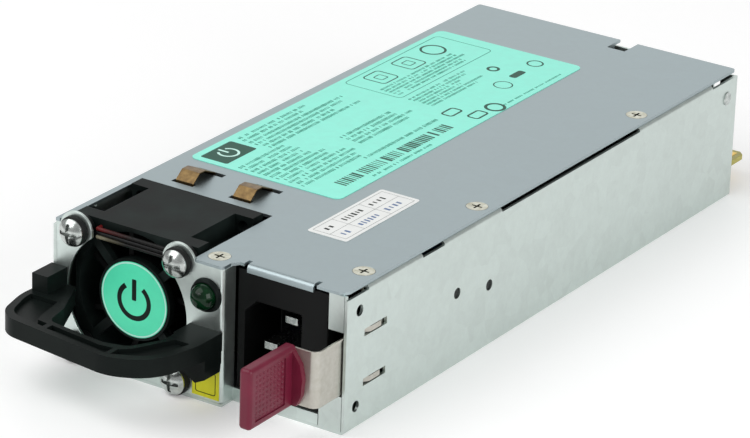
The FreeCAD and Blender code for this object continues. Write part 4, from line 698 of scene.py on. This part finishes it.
# Its plain marks: two squares, each with an outer and an inner line of half side, corner and line width;
# rings of x, y, radius and line width; two open tablets of half width, half length, corner and line width;
# one solid tablet.
SQUARES_AT = ((7.4, 79.6), (7.4, 93.6))
SQUARE_LINES = ((3.7, 1.2, 0.4), (1.5, 0.5, 0.3))
RINGS = ((7.1, 106.6, 3.5, 0.7), (28.4, 104.4, 1.5, 0.8), (35.4, 115.2, 2.2, 0.5),
         (37.1, 95.6, 2.6, 0.35), (44.3, 80.0, 2.6, 0.9))
TABLETS_AT = ((37.0, 69.6), (43.5, 72.4))
TABLET = (1.7, 2.8, 0.9, 0.6)
SOLID_TABLET = {"x": (34.7, 37.1), "y": (102.0, 108.0), "corner": 0.8}

# Width of the thin frame lines.
FRAME_LINE = 0.22


def rating_print():
    """Generic print of the big label: unreadable lines, a frame, plain marks, a bar code, a power sign."""
    plane = plane_on_top("rating_label")

    def fine(form):
        for lines in RATING_LINES.values():
            small_print(form, "teal_ink", **lines)
        strip(form, oblong(**LINE_FRAME), FRAME_LINE)

    def bold(form):
        for x, y in SQUARES_AT:
            for half, corner, line in SQUARE_LINES:
                strip(form, oblong(around(x, half), around(y, half), corner), line)
        for x, y, radius, line in RINGS:
            strip(form, arc(x, y, radius), line)
        for x, y in TABLETS_AT:
            half_width, half_length, corner, line = TABLET
            strip(form, oblong(around(x, half_width), around(y, half_length), corner), line)
        patch(form, oblong(**SOLID_TABLET))
        small_print(form, "dark_ink", **BAR_CODE)

    def sign(form):
        patch(form, oblong(**SIGN_BLOCK))

    def sign_mark(form):
        x, y = 6.4, 8.8
        power_ring(form, x, y, radius=2.7, line=0.7, gap_at=180)
        patch(form, oblong((3.1, x), around(y, 0.4)))

    printed("rating_fine_print", plane, "teal_ink", fine)
    printed("rating_bold_print", plane, "dark_ink", bold)
    printed("rating_sign", plane, "dark_ink", sign)
    printed("rating_sign_mark", plane_on_top("rating_label", coats=2), "pale_ink", sign_mark)


def table_print():
    """Generic print of the white sticker: a ruled table of two rows and three columns of words."""
    plane = plane_on_top("table_label")
    left, between, right = 1.0, 6.1, 11.0
    front, columns, rear = 1.3, (9.7, 21.9), 32.7
    words = ((3.7, 7.5), (11.5, 20.3), (23.7, 30.9))
    line = 0.12

    def ruling(form):
        strip(form, oblong((left, right), (front, rear)), line)
        strip(form, [(between, front), (between, rear)], line, closed=False)
        for y in columns:
            strip(form, [(left, y), (right, y)], line, closed=False)

    def row_of_words(form, ink, x, seed):
        for i, y in enumerate(words):
            small_print(form, ink, x, y, 1, seed + i, shortest=1.0, pitch=1.25, height=1.9,
                        thinnest=0.4, thickest=0.7, filled=1.0)

    def upper(form):
        row_of_words(form, "black_ink", (2.6, 4.6), 51)

    def lower(form):
        row_of_words(form, "blue_ink", (7.6, 9.6), 61)

    printed("table_ruling", plane, "grey_ink", ruling)
    printed("table_upper_words", plane, "black_ink", upper)
    printed("table_lower_words", plane, "blue_ink", lower)


def hub_print():
    """Generic power sign and pale rim on the fan's disc, measured from the fan's axis."""
    low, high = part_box("hub_disc")
    plane = plane_in_front(FAN_AXIS.x, low.y, FAN_AXIS.z)
    disc_radius = (high.x - FAN_AXIS.x) / MM
    rim_line = 0.35

    def mark(form):
        power_ring(form, 0, -0.4, radius=4.6, line=1.35, gap_at=90)
        patch(form, oblong(around(0, 0.68), (-0.2, 5.6), 0.3))

    def rim(form):
        strip(form, arc(0, 0, disc_radius - rim_line, steps=96), rim_line)

    printed("hub_power_mark", plane, "black_ink", mark)
    printed("hub_rim_line", plane, "pale_ink", rim)


def side_label_print():
    """Plain frame line on the yellow label."""
    low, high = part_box("yellow_label")
    width, height = (high.x - low.x) / MM, (high.z - low.z) / MM
    margin = 1.1

    def frame_line(form):
        strip(form, oblong((margin, width - margin), (margin, height - margin), 0.6), FRAME_LINE)

    printed("yellow_label_line", plane_in_front(low.x, low.y, low.z), "black_ink", frame_line)


# ---------------------------------------------------------------- the grip's dimples

# Any face of the grip that looks to the right and is larger than this is part of its recess's floor.
LEAST_FLOOR = 50.0 * MM * MM


def dimple_grip(grip):
    """Put a dimpled field in place of the flat floor of the grip's recess."""
    form = bmesh.new()
    form.from_mesh(grip.data)
    floor = [face for face in form.faces if face.normal.x > 0.99 and face.calc_area() > LEAST_FLOOR]
    corners = [vert.co.copy() for face in floor for vert in face.verts]
    bmesh.ops.delete(form, geom=floor, context="FACES_ONLY")
    form.to_mesh(grip.data)
    form.free()
    low = Vector(map(min, zip(*corners)))
    high = Vector(map(max, zip(*corners)))
    middle = (low + high) / 2
    sheet = grown("grip_dimples", dimpled_tree(), {
        "Columns": 8, "Rows": 9, "Width": high.y - low.y, "Height": high.z - low.z,
        "Dimple Radius": 0.52 * MM, "Depth": 0.4 * MM, "Fineness": 10,
        "Plastic": MATERIALS["maroon_plastic"]})
    # The field is grown level; this stands it upright, its face to the right.
    sheet.transform(Matrix(((0, 0, 1, middle.x), (1, 0, 0, middle.y), (0, 1, 0, middle.z), (0, 0, 0, 1))))
    settle("grip_dimples", sheet, "latch", "maroon_plastic")


# ---------------------------------------------------------------- stage

# The stage is set out in metres. The floor reaches this far to each side.
FLOOR_REACH = 6.0

# Where the lamps look.
AIM = Vector((0, 0.08, 0.02))

# Three large soft panels and two small lamps for crisp highlights: place, width of the square, watts.
LAMPS = {
    "key_panel": ((-0.6, -0.8, 1.15), 1.4, 13.0),
    "right_panel": ((1.15, -0.35, 0.5), 0.8, 7.9),
    "rear_panel_light": ((-0.9, 1.7, 1.0), 1.8, 6.8),
    "left_spark": ((-0.27, -1.0, 0.75), 0.035, 0.25),
    "right_spark": ((-0.12, -1.04, 0.75), 0.035, 0.25),
}


def lay_floor():
    """A plain pale floor that shows white and keeps the object's shadow."""
    level = CAD_BOX[0][2]
    corners = [(x * FLOOR_REACH, y * FLOOR_REACH, level) for x, y in ((-1, -1), (1, -1), (1, 1), (-1, 1))]
    mesh = bpy.data.meshes.new("studio_floor")
    mesh.from_pydata(corners, [], [(0, 1, 2, 3)])
    floor = bpy.data.objects.new("studio_floor", mesh)
    bpy.context.scene.collection.objects.link(floor)

    # Matt white paper: even, with no highlight
    material, tree, shader, place = start_material("matt_paper_white")
    fibre = add(tree, "ShaderNodeTexNoise", {"Vector": place, "Scale": scale_for(4.0)})
    feed(tree, shader, {
        "Roughness": 0.9,
        "Base Color": add(tree, "ShaderNodeValToRGB", {"Fac": fibre}, (
            (0.0, scaled(WHITE, 0.86)), (1.0, scaled(WHITE, 0.88)))),
    })

    # Seen directly, in metal or through a lens, the paper glows up to white
    path = add(tree, "ShaderNodeLightPath").outputs
    mirrored = add(tree, "ShaderNodeMath", {0: path["Is Camera Ray"], 1: path["Is Glossy Ray"]},
                   operation="MAXIMUM")
    seen = add(tree, "ShaderNodeMath", {0: mirrored, 1: path["Is Transmission Ray"]}, operation="MAXIMUM")
    glow = add(tree, "ShaderNodeEmission", {"Color": WHITE, "Strength": 0.22})
    lifted = add(tree, "ShaderNodeAddShader", {0: shader, 1: glow})
    output = next(node for node in tree.nodes if node.type == "OUTPUT_MATERIAL")
    feed(tree, output, {"Surface": add(tree, "ShaderNodeMixShader", {0: seen, 1: shader, 2: lifted})})
    mesh.materials.append(material)


def light_studio():
    """A surround that lights gently and shows white, and the lamps."""
    world = bpy.data.worlds.new("studio")
    bpy.context.scene.world = world
    world.use_nodes = True
    tree = world.node_tree
    gentle = next(node for node in tree.nodes if node.type == "BACKGROUND")
    feed(tree, gentle, {"Color": WHITE, "Strength": 0.42})
    white = add(tree, "ShaderNodeBackground", {"Color": WHITE, "Strength": 1.0})
    seen = add(tree, "ShaderNodeLightPath").outputs["Is Camera Ray"]
    output = next(node for node in tree.nodes if node.type == "OUTPUT_WORLD")
    feed(tree, output, {"Surface": add(tree, "ShaderNodeMixShader", {0: seen, 1: gentle, 2: white})})
    for name, (place, width, watts) in LAMPS.items():
        lamp = bpy.data.lights.new(name, "AREA")
        lamp.shape = "SQUARE"
        lamp.size = width
        lamp.energy = watts
        stand = bpy.data.objects.new(name, lamp)
        bpy.context.scene.collection.objects.link(stand)
        stand.location = place
        stand.rotation_euler = (AIM - Vector(place)).to_track_quat("-Z", "Y").to_euler()


# The camera: its place in metres, its angles in degrees, its lens in millimetres.
CAMERA_PLACE = (0.54767, -0.77216, 0.44809)
CAMERA_AZIMUTH, CAMERA_ELEVATION, CAMERA_ROLL = 32.80, 22.91, 1.98
FOCAL_LENGTH, SENSOR_WIDTH = 199.80, 36.0
NEAREST_SEEN = 0.05


def set_camera():
    """A long lens from the front right, above the case, rolled a little."""
    azimuth, elevation, roll = map(math.radians, (CAMERA_AZIMUTH, CAMERA_ELEVATION, CAMERA_ROLL))
    back = Vector((math.sin(azimuth) * math.cos(elevation), -math.cos(azimuth) * math.cos(elevation),
                   math.sin(elevation)))
    right = Vector((0, 0, 1)).cross(back).normalized()
    up = back.cross(right)
    turned_right = math.cos(roll) * right + math.sin(roll) * up
    turned_up = math.cos(roll) * up - math.sin(roll) * right
    lens = bpy.data.cameras.new("camera")
    lens.lens = FOCAL_LENGTH
    lens.sensor_width = SENSOR_WIDTH
    lens.clip_start = NEAREST_SEEN
    camera = bpy.data.objects.new("camera", lens)
    bpy.context.scene.collection.objects.link(camera)
    turn = Matrix((turned_right, turned_up, back)).transposed().to_4x4()
    camera.matrix_world = Matrix.Translation(CAMERA_PLACE) @ turn
    bpy.context.scene.camera = camera
    bpy.context.scene.view_settings.view_transform = "Standard"


set_camera()
light_studio()
lay_floor()
FINISHED = dress_solids()
dimple_grip(FINISHED["latch_grip"])
rating_print()
table_print()
hub_print()
side_label_print()
